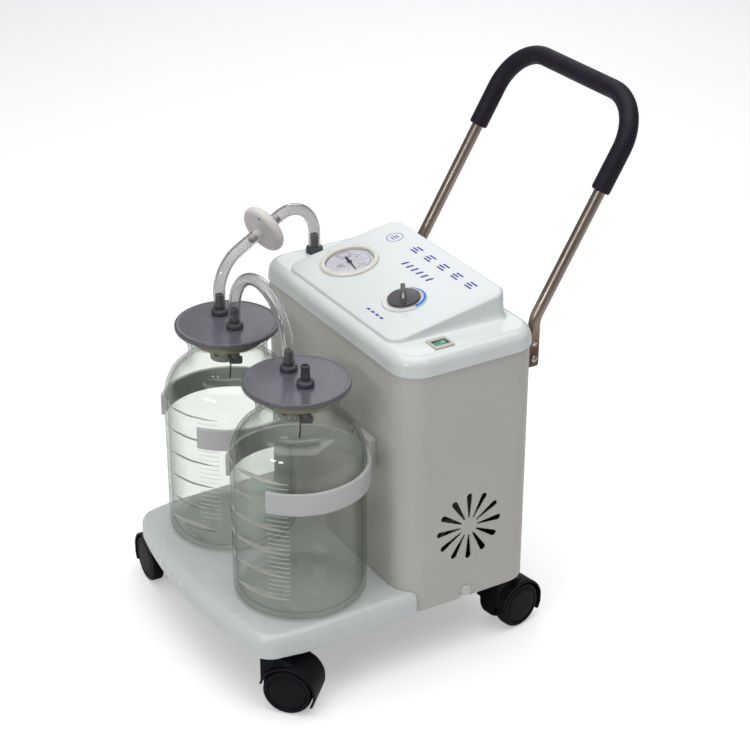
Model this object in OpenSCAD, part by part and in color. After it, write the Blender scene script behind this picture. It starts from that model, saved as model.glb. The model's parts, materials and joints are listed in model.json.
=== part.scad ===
// Two-jar mobile suction pump.
// Frame: X to the machine's right, Y to the back (handle side), Z up.
// Origin: floor level, under the middle of the whole outline.

/* [Base] */
// Height of the tray's top face above the floor
tray_top_z = 88; // [86:1:94]
// Width of the tray
tray_w = 294; // [290:1:298]
// Depth of the tray's skirt
tray_skirt_h = 25; // [22:1:27]

/* [Jars] */
// Outer diameter of a jar's body
jar_d = 134; // [130:1:134]
// Distance between the two jars' axes
jar_pitch = 145; // [145:1:148]
// Height of a jar from foot to mouth
jar_h = 227.3; // [224:0.1:230]
// Glass thickness
glass_t = 3; // [2.5:0.5:3.5]
// Diameter of a jar's lid
lid_d = 106; // [104:1:108]

/* [Housing] */
// Width of the steel housing
housing_w = 290; // [288:1:292]
// Depth of the steel housing
housing_depth = 156; // [154:1:158]
// Height of the housing's top edge above the floor
housing_top_z = 329; // [325:1:332]
// Radius of the housing's upright corners
housing_corner_r = 28; // [24:1:30]
// Sheet thickness
sheet_t = 1.2; // [1:0.1:1.5]

/* [Cover] */
// Height of the cover's side wall, with its rounded edge
cover_h = 19.5; // [18:0.5:21]
// Slope of the console plate, rising to the back
console_tilt = 10; // [8:1:11]
// Half of the console's width
console_half_w = 105; // [103:1:106]

/* [Handle] */
// Diameter of the handle tube
tube_d = 12; // [11:1:12]
// Backward lean of the handle
handle_lean = 30.9; // [29:0.1:33]
// Distance between the two legs
handle_w = 216; // [210:1:218]
// Length of a leg from its bend to the top bar
leg_len = 236.4; // [234:0.4:240]
// Diameter of the foam grip
grip_d = 19.5; // [18:0.5:20]

/* [Casters] */
// Diameter of a caster's wheels
wheel_d = 50; // [48:1:50]
// Distance from a swivel axis to its wheel axle
caster_trail = 15; // [14:0.5:16]

/* [Hidden] */
$fn = 64;
eps = 0.01;
fit = 0.05;               // running clearance on a radius
play = 0.3;               // loose clearance between fixed pieces
slice_t = 0.3;            // thickness of the slices that round a moulded edge
lap = 0.5;                // how far a straight pipe runs into a bend
swell = 0.05;             // extra skin on a bend, so that the straight pipe ends inside it

// ---- places worked out from the driving dimensions ----
// the outline runs from the tray's front to the back of the grip, and the origin halves it
outline_back = 77 + housing_depth + 17.5 + leg_len * sin(handle_lean) + grip_d / 2 + swell;
jar_y = (95 - outline_back) / 2;             // jar axes
jar_r = jar_d / 2;
jar_x = jar_pitch / 2;
housing_y0 = jar_y + 77;                     // housing's front face
housing_y1 = housing_y0 + housing_depth;     // housing's rear face
housing_z0 = tray_top_z - tray_skirt_h + 0.4;
inner_x = housing_w / 2 - sheet_t;
tray_half = tray_w / 2;
tray_front_y = jar_y - 95;
tray_back_y = housing_y0 + 15;
wall_t = 3;                                  // moulded wall thickness

// clips that hold the jars against the housing
clip_z0 = tray_top_z + 124;
clip_h = 23;
clip_t = 4;
clip_screw_dx = [-12, 12];
clip_screw_dz = clip_h + 4;

// lids and their spigots; offsets are from the jar's axis
mouth_r = 46;
neck_r = 40.5;
lid_r = lid_d / 2;
lid_t = 5;
lid_z = tray_top_z + jar_h + 1.2;            // underside of the lid
lid_top_z = lid_z + lid_t;
vac_dx = -22;                                // vacuum-side spigot
vac_dy = 3.5;
in_dx = 14.5;                                // inlet-side spigot
in_dy = 1.5;
spigot_tip_r = 4.3;
spigot_root_r = 4.6;
spigot_h = 21.4;
spigot_bore_r = 2.8;
collar_r = 8.7;
collar_h = 5;
hose_start = 8.5;                            // lower end of a hose above the lid
hose_ro = 6.3;
hose_ri = 4.7;

// float in its cage
cage_dx = 5.5;
cage_r = 14;
cage_h = 42;
cage_floor_t = 2;
float_r = 10;
float_h = 16;

// console
console_y0 = housing_y0 + 10;
console_depth = 134;
cover_z0 = housing_top_z;
strip_z = cover_z0 + cover_h;                // flat strip round the console
console_front_z = strip_z + 3.5;
function console_z(y) = console_front_z + tan(console_tilt) * (y - console_y0);
dial_y = jar_y + 137;
gauge_x = -61;
knob_x = 45.5;
switch_x = 123.6;
switch_y = jar_y + 129.2;
switch_z = strip_z;
rocker_rest = 8;                             // rocker's tilt when the pump is off
port_x = -125.5;
port_y = jar_y + 132;
port_h = 21;
nipple_dy = 5;
nipple_z = console_z(dial_y) - 50;           // lower end of the gauge's and the valve's nipples

// hose between the left lid, the filter and the cover's port, in one upright plane
vac_left = [-jar_x + vac_dx, jar_y + vac_dy];
filter_span = norm([port_x - vac_left[0], port_y - vac_left[1]]);
filter_heading = atan2(port_y - vac_left[1], port_x - vac_left[0]);
filter_rise = 20.5;                          // lean of the filter's axis above level
hose_bend_in = 42.8;
hose_bend_out = 36;
hose_bend_in_z = lid_top_z + 21.5;
filter_r = 26;
filter_t = 12;
hub_r = 4.6;
hub_len = 14;
hub_bare = 8;                                // length of a hub outside its hose
inlet_run = 22.6;                            // straight hose before the filter

// handle
leg_x = handle_w / 2;
handle_y = housing_y1 + 17.5;
bend_z = tray_top_z + 249.8;
bend_r = 26;
handle_bend_r = 50;
flat_z0 = tray_top_z + 197.5;
flat_z1 = tray_top_z + 232;
flat_t = 4;
flat_w = 13;
screw_z = [flat_z0 + 9, flat_z0 + 26];

// vents and housing screws, shared by both sides
vent_y = jar_y + 153.8;
vent_z = tray_top_z + 58.9;
knob_screw_y = jar_y + 151.1;
knob_screw_z = tray_top_z - 16.2;
notch_w = 12;                                // open notch in the panel under each knob screw

// mains inlet in the rear panel
inlet_w = 27.4;
inlet_h = 31.4;
inlet_z = 106;

// pump
plate_z = tray_top_z - tray_skirt_h + 1;     // underside of the chassis plate
plate_t = 3;
plate_half = inner_x - 2;
base_z = plate_z + 15;                       // underside of the motor's base plate
pump_y = jar_y + 158;
shaft_z = 134;
shaft_r = 5;
throw = 3;
crank_x = -84;                               // middle of the crankcase
bearing_x = [-42, 96];
mount_x = [-30, 56];
mount_dy = [-38, 38];
head_r = 32;
bowl_r = 24;
diaphragm_z = shaft_z + 50;
diaphragm_t = 2.4;
head_z = diaphragm_z + diaphragm_t;
head_h = 18;
port_len = 12;
// ports on the head, as [x, y] from its middle
air_port = [-14, 0];
exhaust_port = [14, 0];
gauge_port = [0, 14];
valve_port = [0, -14];
inner_hose_ro = 6;
inner_hose_ri = 4 + fit;
inner_hose_z = head_z + head_h + 2;

// casters: [x, y, heading of the trailing wheel]
wheel_r = wheel_d / 2;
wheel_t = 13;
web_half = 6;
hood_r = 29;
hood_half = 20;
hood_tip_z = 14;
neck_top_z = 60;
caster_neck_r = 14;
stem_r = 4;
axle_r = 3.5;
caster_x = 125.6;
caster_front_y = jar_y - 56.5;
caster_rear_y = jar_y + 207;
caster_front_left = [-caster_x, caster_front_y, 176.1];
caster_front_right = [caster_x, caster_front_y, 45];
caster_rear_left = [-caster_x, caster_rear_y, 120];
caster_rear_right = [caster_x, caster_rear_y, 100];
CASTERS = [caster_front_left, caster_front_right, caster_rear_left, caster_rear_right];

// ---- shared shapes ----
module ring_section(ro, ri) difference() { circle(ro); circle(ri); }

module pipe(ro, ri, h) difference() {
  cylinder(r = ro, h = h);
  translate([0, 0, -1]) cylinder(r = ri, h = h + 2);
}

// arc of a pipe in the local XZ plane, centred on the origin, from angle a0 to a1
module bend(path_r, a0, a1, ro, ri)
  rotate([90, 0, 0]) rotate([0, 0, a0]) rotate_extrude(angle = a1 - a0)
    translate([path_r, 0]) ring_section(ro + swell, ri - swell);

// straight pipe in the local XZ plane from [x, z], leaning a degrees above +X, that runs
// on into a bend by lap0 at its start and lap1 at its end
module run(p, a, len, ro, ri, lap0 = lap, lap1 = lap)
  translate([p[0], 0, p[1]]) rotate([0, 90 - a, 0]) translate([0, 0, -lap0])
    pipe(ro, ri, len + lap0 + lap1);

// hose that climbs from [x, y, z] p to [x, y, z] q by way of two equal bends of turn degrees
module s_hose(p, q, r, turn, ro, ri) {
  d = norm([q[0] - p[0], q[1] - p[1]]);
  mid_len = (d - 2 * r * (1 - cos(turn))) / sin(turn);
  climb = 2 * r * sin(turn) + mid_len * cos(turn);
  z1 = (p[2] + q[2] - climb) / 2;
  translate([p[0], p[1], 0]) rotate([0, 0, atan2(q[1] - p[1], q[0] - p[0])]) {
    run([0, p[2]], 90, z1 - p[2], ro, ri, 0);
    translate([r, 0, z1]) bend(r, 180 - turn, 180, ro, ri);
    run([r * (1 - cos(turn)), z1 + r * sin(turn)], 90 - turn, mid_len, ro, ri);
    translate([d - r, 0, z1 + climb]) bend(r, -turn, 0, ro, ri);
    run([d, z1 + climb], 90, q[2] - z1 - climb, ro, ri, lap, 0);
  }
}

function arc(cx, cy, r, a0, a1, n = 6) =
  [for (i = [0:n]) let (a = a0 + (a1 - a0) * i / n) [cx + r * cos(a), cy + r * sin(a)]];

// closed outline of a rectangle with rounded corners
function round_rect(half_w, y0, y1, r) = let (w = half_w - r) concat(
  arc(w, y1 - r, r, 0, 90), arc(-w, y1 - r, r, 90, 180),
  arc(-w, y0 + r, r, 180, 270), arc(w, y0 + r, r, 270, 360));

module rounded_plate(half_w, y0, y1, r) {
  translate([-half_w + r, y0]) square([2 * (half_w - r), y1 - y0]);
  translate([-half_w, y0 + r]) square([2 * half_w, y1 - y0 - 2 * r]);
  for (x = [-1, 1], y = [y0 + r, y1 - r]) translate([x * (half_w - r), y]) circle(r);
}

module screw_head(r, h) {
  cylinder(r = r, h = h * 0.5);
  translate([0, 0, h * 0.5]) cylinder(r1 = r, r2 = r * 0.72, h = h * 0.5);
}

// ---- base ----
function tray_outline(inset) = let (r = 24 - inset, cx = tray_half - 28, cy = jar_y - 59,
    front_r = 623, side = tray_half - inset) concat(
  [[side, tray_back_y + 20], [side, jar_y - 37]],
  arc(cx, cy, r, 0, -80, 5),
  [for (x = [100:-25:-100]) [x, tray_front_y + inset + x * x / (2 * front_r)]],
  arc(-cx, cy, r, -100, -180, 5),
  [[-side, jar_y - 37], [-side, tray_back_y + 20]]);

// skirt with a top whose edge is rounded by a stack of shrinking outlines
module tray_solid(inset, top, bottom, edge) {
  translate([0, 0, bottom]) linear_extrude(top - edge - bottom) polygon(tray_outline(inset));
  hull() for (a = [0:22.5:90]) translate([0, 0, top - edge * (1 - sin(a)) - slice_t])
    linear_extrude(slice_t) polygon(tray_outline(inset + edge * (1 - cos(a))));
}

base_screw_at = [[-100, jar_y - 62], [0, jar_y - 74], [100, jar_y - 62], [-128, jar_y + 40],
  [0, jar_y + 62], [128, jar_y + 40]];

module base_tray() color([0.86, 0.88, 0.88]) {
  skirt_z = tray_top_z - tray_skirt_h;
  difference() {
    tray_solid(0, tray_top_z, skirt_z, 10);
    tray_solid(wall_t, tray_top_z - wall_t, skirt_z - 2, 8);
    translate([-200, tray_back_y, 0]) cube([400, 100, 200]);
    translate([0, 0, skirt_z - 1]) linear_extrude(60)
      rounded_plate(housing_w / 2 + play, housing_y0 - play, housing_y1, housing_corner_r);
  }
  for (p = base_screw_at) translate([p[0], p[1], plate_z + 3])
    pipe(6, 2, tray_top_z - wall_t - plate_z - 3 + 0.5);
}

module chassis_plate() color([0.55, 0.56, 0.58]) {
  difference() {
    translate([0, 0, plate_z]) linear_extrude(plate_t)
      rounded_plate(plate_half, jar_y - 74, housing_y1 - sheet_t - 1, 32);
    for (p = base_screw_at) translate([p[0], p[1], 0]) cylinder(r = 2.3, h = 100);
    for (c = CASTERS) translate([c[0], c[1], 0]) cylinder(r = stem_r + 0.2, h = 100);
    for (x = mount_x, dy = mount_dy) translate([x, pump_y + dy, 0]) cylinder(r = 3.2, h = 100);
  }
  for (s = [-1, 1]) difference() {
    translate([s * (inner_x - 2.2) - 1, knob_screw_y - 14, plate_z]) cube([2, 28, 20]);
    translate([0, knob_screw_y, knob_screw_z]) rotate([0, 90, 0])
      cylinder(r = 2.5, h = 400, center = true);
  }
}

module base_screws() color([0.7, 0.7, 0.72]) for (p = base_screw_at)
  translate([p[0], p[1], plate_z]) {
    translate([0, 0, -2.5]) cylinder(r = 4.2, h = 2.5);
    cylinder(r = 1.95, h = 14);
  }

// ---- housing ----
// one vent slot along +X, its round end outside
module vent_slot(inner, outer, r) {
  polygon([[inner, -1], [inner, 1], [outer - r, r], [outer - r, -r]]);
  translate([outer - r, 0]) circle(r);
}

module vent_pattern() for (i = [0:11]) rotate(i * 30) vent_slot(10, 38, 3.4);

module housing_shell() color([0.8, 0.79, 0.75]) difference() {
  translate([0, 0, housing_z0]) linear_extrude(housing_top_z - housing_z0)
    rounded_plate(housing_w / 2, housing_y0, housing_y1, housing_corner_r);
  translate([0, 0, housing_z0 - 1]) linear_extrude(housing_top_z - housing_z0 + 2)
    rounded_plate(inner_x, housing_y0 + sheet_t, housing_y1 - sheet_t, housing_corner_r - sheet_t);
  for (s = [-1, 1]) {
    translate([s * housing_w / 2, vent_y, vent_z]) rotate([90, 0, 90])
      linear_extrude(10, center = true) vent_pattern();
    translate([s * housing_w / 2, knob_screw_y, knob_screw_z]) rotate([0, 90, 0])
      cylinder(r = 2.6, h = 10, center = true);
    translate([s * housing_w / 2 - 5, knob_screw_y - notch_w / 2, housing_z0 - 1])
      cube([10, notch_w, knob_screw_z - housing_z0]);
    for (dx = clip_screw_dx) translate([s * jar_x + dx, housing_y0, clip_z0 + clip_screw_dz])
      rotate([90, 0, 0]) cylinder(r = 2.2, h = 10, center = true);
  }
  // the front wall stands just above the chassis plate, which runs on under the tray
  translate([-plate_half - play, housing_y0 - 1, housing_z0 - 1])
    cube([2 * (plate_half + play), 21, plate_z + plate_t + play - housing_z0 + 1]);
  translate([0, housing_y1, inlet_z]) cube([inlet_w, 10, inlet_h], center = true);
  for (x = [-35:10:35]) translate([x, housing_y1, 200]) cube([4, 10, 46], center = true);
}

module housing_screws() color([0.93, 0.93, 0.92]) for (s = [-1, 1])
  translate([s * housing_w / 2, knob_screw_y, knob_screw_z]) rotate([0, s * 90, 0]) {
    cylinder(r = 5.5, h = 2.2);
    translate([0, 0, 2.2]) cylinder(r1 = 5.5, r2 = 4, h = 1);
    translate([0, 0, -9]) cylinder(r = 2.3, h = 9.5);
  }

// ---- top cover ----
module cover_solid(inset, top, bottom, edge) hull() {
  half_w = housing_w / 2 + 2 - inset;
  y0 = housing_y0 - 1.5 + inset;
  y1 = housing_y1 + 1.5 - inset;
  r = housing_corner_r + 1.5 - inset;
  translate([0, 0, bottom]) linear_extrude(1) polygon(round_rect(half_w, y0, y1, r));
  for (a = [0:22.5:90]) let (in = edge * (1 - cos(a)))
    translate([0, 0, top - edge * (1 - sin(a)) - slice_t]) linear_extrude(slice_t)
      polygon(round_rect(half_w - in, y0 + in, y1 - in, r - in));
}

module console_solid(inset, bottom) hull() {
  slope_len = console_depth / cos(console_tilt);
  translate([0, 0, bottom]) linear_extrude(1) polygon(round_rect(console_half_w + 2 - inset,
    console_y0 + inset, console_y0 + console_depth + 1 - inset, 16 - inset));
  translate([0, console_y0, console_front_z]) rotate([console_tilt, 0, 0])
    for (a = [0:30:90]) let (in = inset + 3 * (1 - cos(a)))
      translate([0, 0, -inset - 3 * (1 - sin(a)) - slice_t]) linear_extrude(slice_t)
        polygon(round_rect(console_half_w - in, in, slope_len - in, 15 - in));
}

// puts children on the sloping console plate, with local Z along its normal
module on_console(x) translate([x, dial_y, console_z(dial_y)]) rotate([console_tilt, 0, 0]) children();

// undoes the console's slope: local Z upright, at the lower end of a nipple under it
module under_console() rotate([-console_tilt, 0, 0])
  translate([0, nipple_dy, nipple_z - console_z(dial_y)]) children();

module top_cover() color([0.93, 0.95, 0.95]) difference() {
  union() {
    cover_solid(0, strip_z, cover_z0, 12);
    console_solid(0, strip_z - 5);
  }
  cover_solid(wall_t, strip_z - wall_t, cover_z0 - 2, 10);
  console_solid(wall_t, strip_z - wall_t - 4);
  on_console(gauge_x) cylinder(r = 27.6, h = 30, center = true);
  on_console(knob_x) cylinder(r = 7.3, h = 30, center = true);
  translate([switch_x, switch_y, switch_z]) cube([17.4, 19.4, 20], center = true);
  translate([port_x, port_y, strip_z]) cylinder(r = 5.2, h = 20, center = true);
}

// ---- jar clips ----
module bottle_clip(s) color([0.92, 0.93, 0.93]) translate([s * jar_x, jar_y, clip_z0]) {
  clip_ri = jar_r + 0.5;
  half_gap = 35;
  rotate([0, 0, -90 + half_gap]) rotate_extrude(angle = 360 - 2 * half_gap)
    translate([clip_ri, 0]) square([clip_t, clip_h]);
  difference() {
    translate([-20, clip_ri + clip_t / 2, 0]) cube([40, 77 - clip_ri - clip_t / 2, clip_h + 9]);
    translate([0, 0, -1]) cylinder(r = clip_ri + 1, h = 60);
    for (dx = clip_screw_dx) translate([dx, 60, clip_screw_dz]) rotate([-90, 0, 0])
      cylinder(r = 2.2, h = 30);
  }
}
module bottle_clip_left() bottle_clip(-1);
module bottle_clip_right() bottle_clip(1);

module clip_screws() color([0.7, 0.7, 0.72]) for (s = [-1, 1], dx = clip_screw_dx)
  translate([s * jar_x + dx, jar_y + 68.6, clip_z0 + clip_screw_dz]) rotate([-90, 0, 0])
    cylinder(r = 2, h = 14);

// ---- jars and lids ----
// outer half profile of a jar: heel arc, body, elliptical shoulder, neck and mouth bead
function jar_outer() = let (r = jar_r, heel = 9, sh0 = jar_h - 77.3, waist = 27, rise = 40) concat(
  arc(r - heel, heel, heel, -90, 0, 5),
  [for (a = [0:12:72]) [r - waist + waist * cos(a), sh0 + rise * sin(a)]],
  [[neck_r + 3.5, sh0 + rise - 0.6], [neck_r + 1, sh0 + rise + 2.2], [neck_r, sh0 + rise + 6],
   [neck_r, jar_h - 9]],
  [[mouth_r - 0.8, jar_h - 6.6]], arc(mouth_r - 2, jar_h - 4, 2, -30, 30, 2),
  [[mouth_r - 1, jar_h]]);
function jar_inner() = let (r = jar_r - glass_t, heel = 8, sh0 = jar_h - 77.3, waist = 27,
    rise = 38) concat(
  [[0, glass_t + 4.5], [r - 24, glass_t + 3]],
  arc(r - heel, glass_t + 1 + heel, heel, -90, 0, 5),
  [for (a = [0:12:72]) [r - waist + waist * cos(a), sh0 + rise * sin(a)]],
  [[neck_r + 0.5, sh0 + rise - 1], [neck_r - glass_t, sh0 + rise + 5], [neck_r - glass_t, jar_h]]);

module bottle(s) color([0.72, 0.8, 0.74, 0.45]) translate([s * jar_x, jar_y, tray_top_z])
  rotate_extrude($fn = 96) polygon(concat(
    [[0, 2.5], [jar_r - 22, 1.2], [jar_r - 18, 0]], jar_outer(),
    [for (i = [len(jar_inner()) - 1:-1:0]) jar_inner()[i]]));
module bottle_left() bottle(-1);
module bottle_right() bottle(1);

module over_lid(s, dx, dy) translate([s * jar_x + dx, jar_y + dy, lid_top_z]) children();

module lid(s) color([0.36, 0.36, 0.4]) difference() {
  translate([s * jar_x, jar_y, lid_z]) rotate_extrude($fn = 96) polygon(concat(
    [[0, 0], [lid_r - 0.6, 0], [lid_r, 0.6]], arc(lid_r - 1.4, lid_t - 1.4, 1.4, 0, 90, 4),
    [[0, lid_t]]));
  over_lid(s, vac_dx, vac_dy) cylinder(r = 4.2, h = 30, center = true);
  over_lid(s, in_dx, in_dy) cylinder(r = 4.2, h = 30, center = true);
}
module lid_left() lid(-1);
module lid_right() lid(1);

// stopper ring that seals the mouth: a flange on the rim and a plug inside the neck
module lid_gasket(s) color([0.72, 0.68, 0.42]) translate([s * jar_x, jar_y, 0]) {
  plug_r = neck_r - glass_t - play;
  flange_z = tray_top_z + jar_h;
  difference() {
    translate([0, 0, flange_z - 12]) {
      cylinder(r = plug_r, h = 12 + eps);
      translate([0, 0, 12]) cylinder(r = mouth_r - 1, h = lid_z - flange_z);
    }
    translate([0, 0, flange_z - 20]) cylinder(r = plug_r - 6, h = 40);
  }
}
module lid_gasket_left() lid_gasket(-1);
module lid_gasket_right() lid_gasket(1);

module spigot(s, dx, dy) over_lid(s, dx, dy) difference() {
  union() {
    cylinder(r = collar_r, h = collar_h);
    translate([0, 0, collar_h]) cylinder(r1 = spigot_root_r + 0.2, r2 = spigot_root_r, h = 3);
    translate([0, 0, collar_h + 3]) cylinder(r1 = spigot_root_r, r2 = spigot_tip_r, h = 4);
    translate([0, 0, collar_h + 7]) cylinder(r = spigot_tip_r, h = spigot_h - collar_h - 7);
    translate([0, 0, -lid_t - 6]) cylinder(r = 4.1, h = lid_t + 6 + eps);
  }
  translate([0, 0, -lid_t - 40]) cylinder(r = spigot_bore_r, h = 100);
}

// spigots, with the inlet's drop tube, its rubber end and the wire that hangs from it
module lid_spigots(s) color([0.25, 0.25, 0.28]) {
  spigot(s, vac_dx, vac_dy);
  spigot(s, in_dx, in_dy);
  over_lid(s, in_dx, in_dy) {
    translate([0, 0, -34]) pipe(4.1, spigot_bore_r, 24);
    translate([0, 0, -42]) pipe(6.5, spigot_bore_r, 9);
    translate([5, 0, -60]) cylinder(r = 0.8, h = 20);
  }
}
module lid_spigots_left() lid_spigots(-1);
module lid_spigots_right() lid_spigots(1);

// cage under a lid's vacuum spigot, which stands off its axis by cage_dx
module float_cage(s) color([0.85, 0.87, 0.86, 0.6]) over_lid(s, vac_dx + cage_dx, vac_dy)
  translate([0, 0, -lid_t - cage_h]) difference() {
    cylinder(r = cage_r, h = cage_h);
    translate([0, 0, cage_floor_t]) cylinder(r = cage_r - 1.6, h = cage_h - 2 * cage_floor_t);
    translate([-cage_dx, 0, cage_h - 10]) cylinder(r = 4.15, h = 20);
    for (a = [0:60:300]) rotate([0, 0, a]) translate([cage_r, 0, 14])
      cube([8, 5, 18], center = true);
  }
module float_cage_left() float_cage(-1);
module float_cage_right() float_cage(1);

module float(s) color([0.9, 0.45, 0.2]) over_lid(s, vac_dx + cage_dx, vac_dy)
  translate([0, 0, -lid_t - cage_h + cage_floor_t]) {
    cylinder(r = float_r, h = float_h);
    translate([0, 0, float_h]) cylinder(r1 = float_r, r2 = 4, h = 4);
  }
module float_left() float(-1);
module float_right() float(1);

// ---- hoses and filter ----
module crossover_hose() color([0.85, 0.86, 0.9, 0.5]) {
  a = [-jar_x + in_dx, jar_y + in_dy];
  b = [jar_x + vac_dx, jar_y + vac_dy];
  r = norm(b - a) / 2;
  rise = 16.1;
  translate([a[0], a[1], lid_top_z]) rotate([0, 0, atan2(b[1] - a[1], b[0] - a[0])]) {
    for (x = [0, 2 * r]) run([x, hose_start], 90, rise - hose_start, hose_ro, hose_ri, 0);
    translate([r, 0, rise]) bend(r, 0, 180, hose_ro, hose_ri);
  }
}

// local frame of the filter line: X level along its heading, Z up, from the left vacuum spigot
module filter_frame() translate([vac_left[0], vac_left[1], 0]) rotate([0, 0, filter_heading])
  children();

// points of the filter line as [x, z] in that frame
line_dir = [cos(filter_rise), sin(filter_rise)];
inlet_end = [hose_bend_in * (1 - line_dir[1]), hose_bend_in_z + hose_bend_in * line_dir[0]];
hub_in = inlet_end + inlet_run * line_dir;
filter_at = hub_in + (filter_t / 2 + hub_bare) * line_dir;
out_start = filter_at + (filter_t / 2 + hub_bare) * line_dir;
out_run = (filter_span - hose_bend_out * (1 + line_dir[1]) - out_start[0]) / line_dir[0];
out_end = out_start + out_run * line_dir;
out_centre = [filter_span - hose_bend_out, out_end[1] - hose_bend_out * line_dir[0]];

module filter_inlet_hose() color([0.85, 0.86, 0.88, 0.5]) filter_frame() {
  run([0, lid_top_z + hose_start], 90, hose_bend_in_z - lid_top_z - hose_start, hose_ro, hose_ri, 0);
  translate([hose_bend_in, 0, hose_bend_in_z])
    bend(hose_bend_in, 90 + filter_rise, 180, hose_ro, hose_ri);
  run(inlet_end, filter_rise, inlet_run, hose_ro, hose_ri, lap, 0);
}

module bacterial_filter() color([0.93, 0.91, 0.9]) filter_frame()
  translate([filter_at[0], 0, filter_at[1]]) rotate([0, 90 - filter_rise, 0]) difference() {
    rotate_extrude($fn = 96) polygon(concat(
      [[0, -filter_t / 2 - hub_len], [hub_r, -filter_t / 2 - hub_len], [hub_r, -filter_t / 2 - 2],
       [9, -filter_t / 2], [filter_r - 5, -filter_t / 2 + 0.5]],
      arc(filter_r - 3, -filter_t / 2 + 3.5, 3, -90, 0, 4),
      arc(filter_r - 3, filter_t / 2 - 3.5, 3, 0, 90, 4),
      [[filter_r - 5, filter_t / 2 - 0.5], [9, filter_t / 2], [hub_r, filter_t / 2 + 2],
       [hub_r, filter_t / 2 + hub_len], [0, filter_t / 2 + hub_len]]));
    cylinder(r = 2.6, h = 100, center = true);
  }

module filter_outlet_hose() color([0.85, 0.86, 0.88, 0.5]) filter_frame() {
  run(out_start, filter_rise, out_run, hose_ro, hose_ri, 0);
  translate([out_centre[0], 0, out_centre[1]])
    bend(hose_bend_out, 0, 90 + filter_rise, hose_ro, hose_ri);
  run([filter_span, strip_z + 7], 90, out_centre[1] - strip_z - 7, hose_ro, hose_ri, 0);
}

module vacuum_port() color([0.25, 0.25, 0.27]) translate([port_x, port_y, strip_z]) difference() {
  union() {
    cylinder(r = 9, h = 6.6);
    cylinder(r = spigot_tip_r, h = port_h);
    translate([0, 0, -19]) cylinder(r = 4, h = 20);
    translate([0, 0, -7]) cylinder(r = 8, h = 3.8);
    translate([0, 0, -4]) cylinder(r = 4.9, h = 5);
  }
  translate([0, 0, -20]) cylinder(r = spigot_bore_r, h = 60);
}

// ---- gauge ----
module gauge_case() color([0.8, 0.8, 0.78]) on_console(gauge_x) difference() {
  union() {
    translate([0, 0, -30]) cylinder(r = 27.3, h = 30.5);
    under_console() cylinder(r = 4, h = 22);
  }
  difference() {
    translate([0, 0, -28.5]) cylinder(r = 25.8, h = 40);
    translate([0, 0, -29]) cylinder(r = 11, h = 24);
    translate([0, 0, -29]) cylinder(r = 0.6, h = 30.6);
  }
  under_console() translate([0, 0, -1]) cylinder(r = 2, h = 30);
}

module gauge_dial() color([0.88, 0.87, 0.92]) on_console(gauge_x)
  translate([0, 0, -2]) pipe(25.7, 1.2, 0.8);

module gauge_needle() color([0.08, 0.08, 0.1]) on_console(gauge_x) rotate([0, 0, -10]) difference() {
  union() {
    translate([0, 0, 0.1]) cylinder(r = 2.4, h = 1);
    translate([0, 0, 0.3]) linear_extrude(0.6) polygon([[0, 1], [17, 0.35], [17, -0.35], [0, -1]]);
    translate([-11, -1.2, 0.3]) cube([11, 2.4, 0.6]);
  }
  cylinder(r = 0.65, h = 10, center = true);
}

module gauge_lens() color([0.9, 0.95, 0.95, 0.3]) on_console(gauge_x)
  translate([0, 0, 2.6]) cylinder(r = 26.9, h = 1.4);

module gauge_bezel() color([0.93, 0.92, 0.87]) on_console(gauge_x) rotate_extrude($fn = 96)
  polygon(concat([[27.4, 0.1], [31, 0.1]], arc(28, 3, 3, 0, 90, 5),
    [[25.6, 5.2], [25.2, 4.1], [27, 4.1]]));

// ---- regulator ----
module regulator_bezel() color([0.95, 0.94, 0.93]) on_console(knob_x) difference() {
  translate([0, 0, eps]) {
    cylinder(r = 23, h = 0.8);
    translate([0, 0, 0.8]) cylinder(r1 = 23, r2 = 22.4, h = 0.6);
  }
  cylinder(r = 5.3, h = 20, center = true);
}

module regulator_valve() color([0.75, 0.66, 0.4]) on_console(knob_x) difference() {
  union() {
    translate([0, 0, -30]) cylinder(r = 11, h = 22);
    translate([0, 0, -12]) cylinder(r = 5, h = 13);
    under_console() cylinder(r = 4, h = 24);
  }
  under_console() translate([0, 0, -1]) cylinder(r = 2, h = 30);
  translate([0, 0, -20]) cylinder(r = 3 + fit, h = 40);
}

module regulator_knob() color([0.33, 0.33, 0.35]) on_console(knob_x) {
  translate([0, 0, 1.8]) cylinder(r1 = 16.6, r2 = 16.2, h = 2.6);
  rotate([0, 0, -31]) translate([-15.6, -2.3, 4]) cube([31.2, 4.6, 6.6]);
  translate([0, 0, -16]) cylinder(r = 3, h = 18);
}

// ---- switch ----
module switch_frame() color([0.85, 0.83, 0.78]) translate([switch_x, switch_y, switch_z]) difference() {
  union() {
    translate([-10.25, -11, 0]) cube([20.5, 22, 1.8]);
    translate([-8.5, -9.5, -16]) cube([17, 19, 16 + eps]);
    for (dy = [-5, 5]) translate([-2, dy - 0.4, -22]) cube([4, 0.8, 7]);
  }
  translate([-5, -8, -9]) cube([10, 16, 20]);
  translate([0, 0, -2.6]) rotate([0, 90, 0]) cylinder(r = 1.3 + fit, h = 15, center = true);
}

// the rocker turns on its own trunnions
module switch_rocker() color([0.25, 0.62, 0.5]) translate([switch_x, switch_y, switch_z - 2.6])
  rotate([rocker_rest, 0, 0]) {
    difference() {
      rotate([0, 90, 0]) cylinder(r = 7.4, h = 9.2, center = true);
      translate([-10, -10, 3.6]) cube([20, 20, 20]);
      translate([-10, -10, -22.2]) cube([20, 20, 20]);
    }
    rotate([0, 90, 0]) cylinder(r = 1.3, h = 13.6, center = true);
  }

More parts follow.
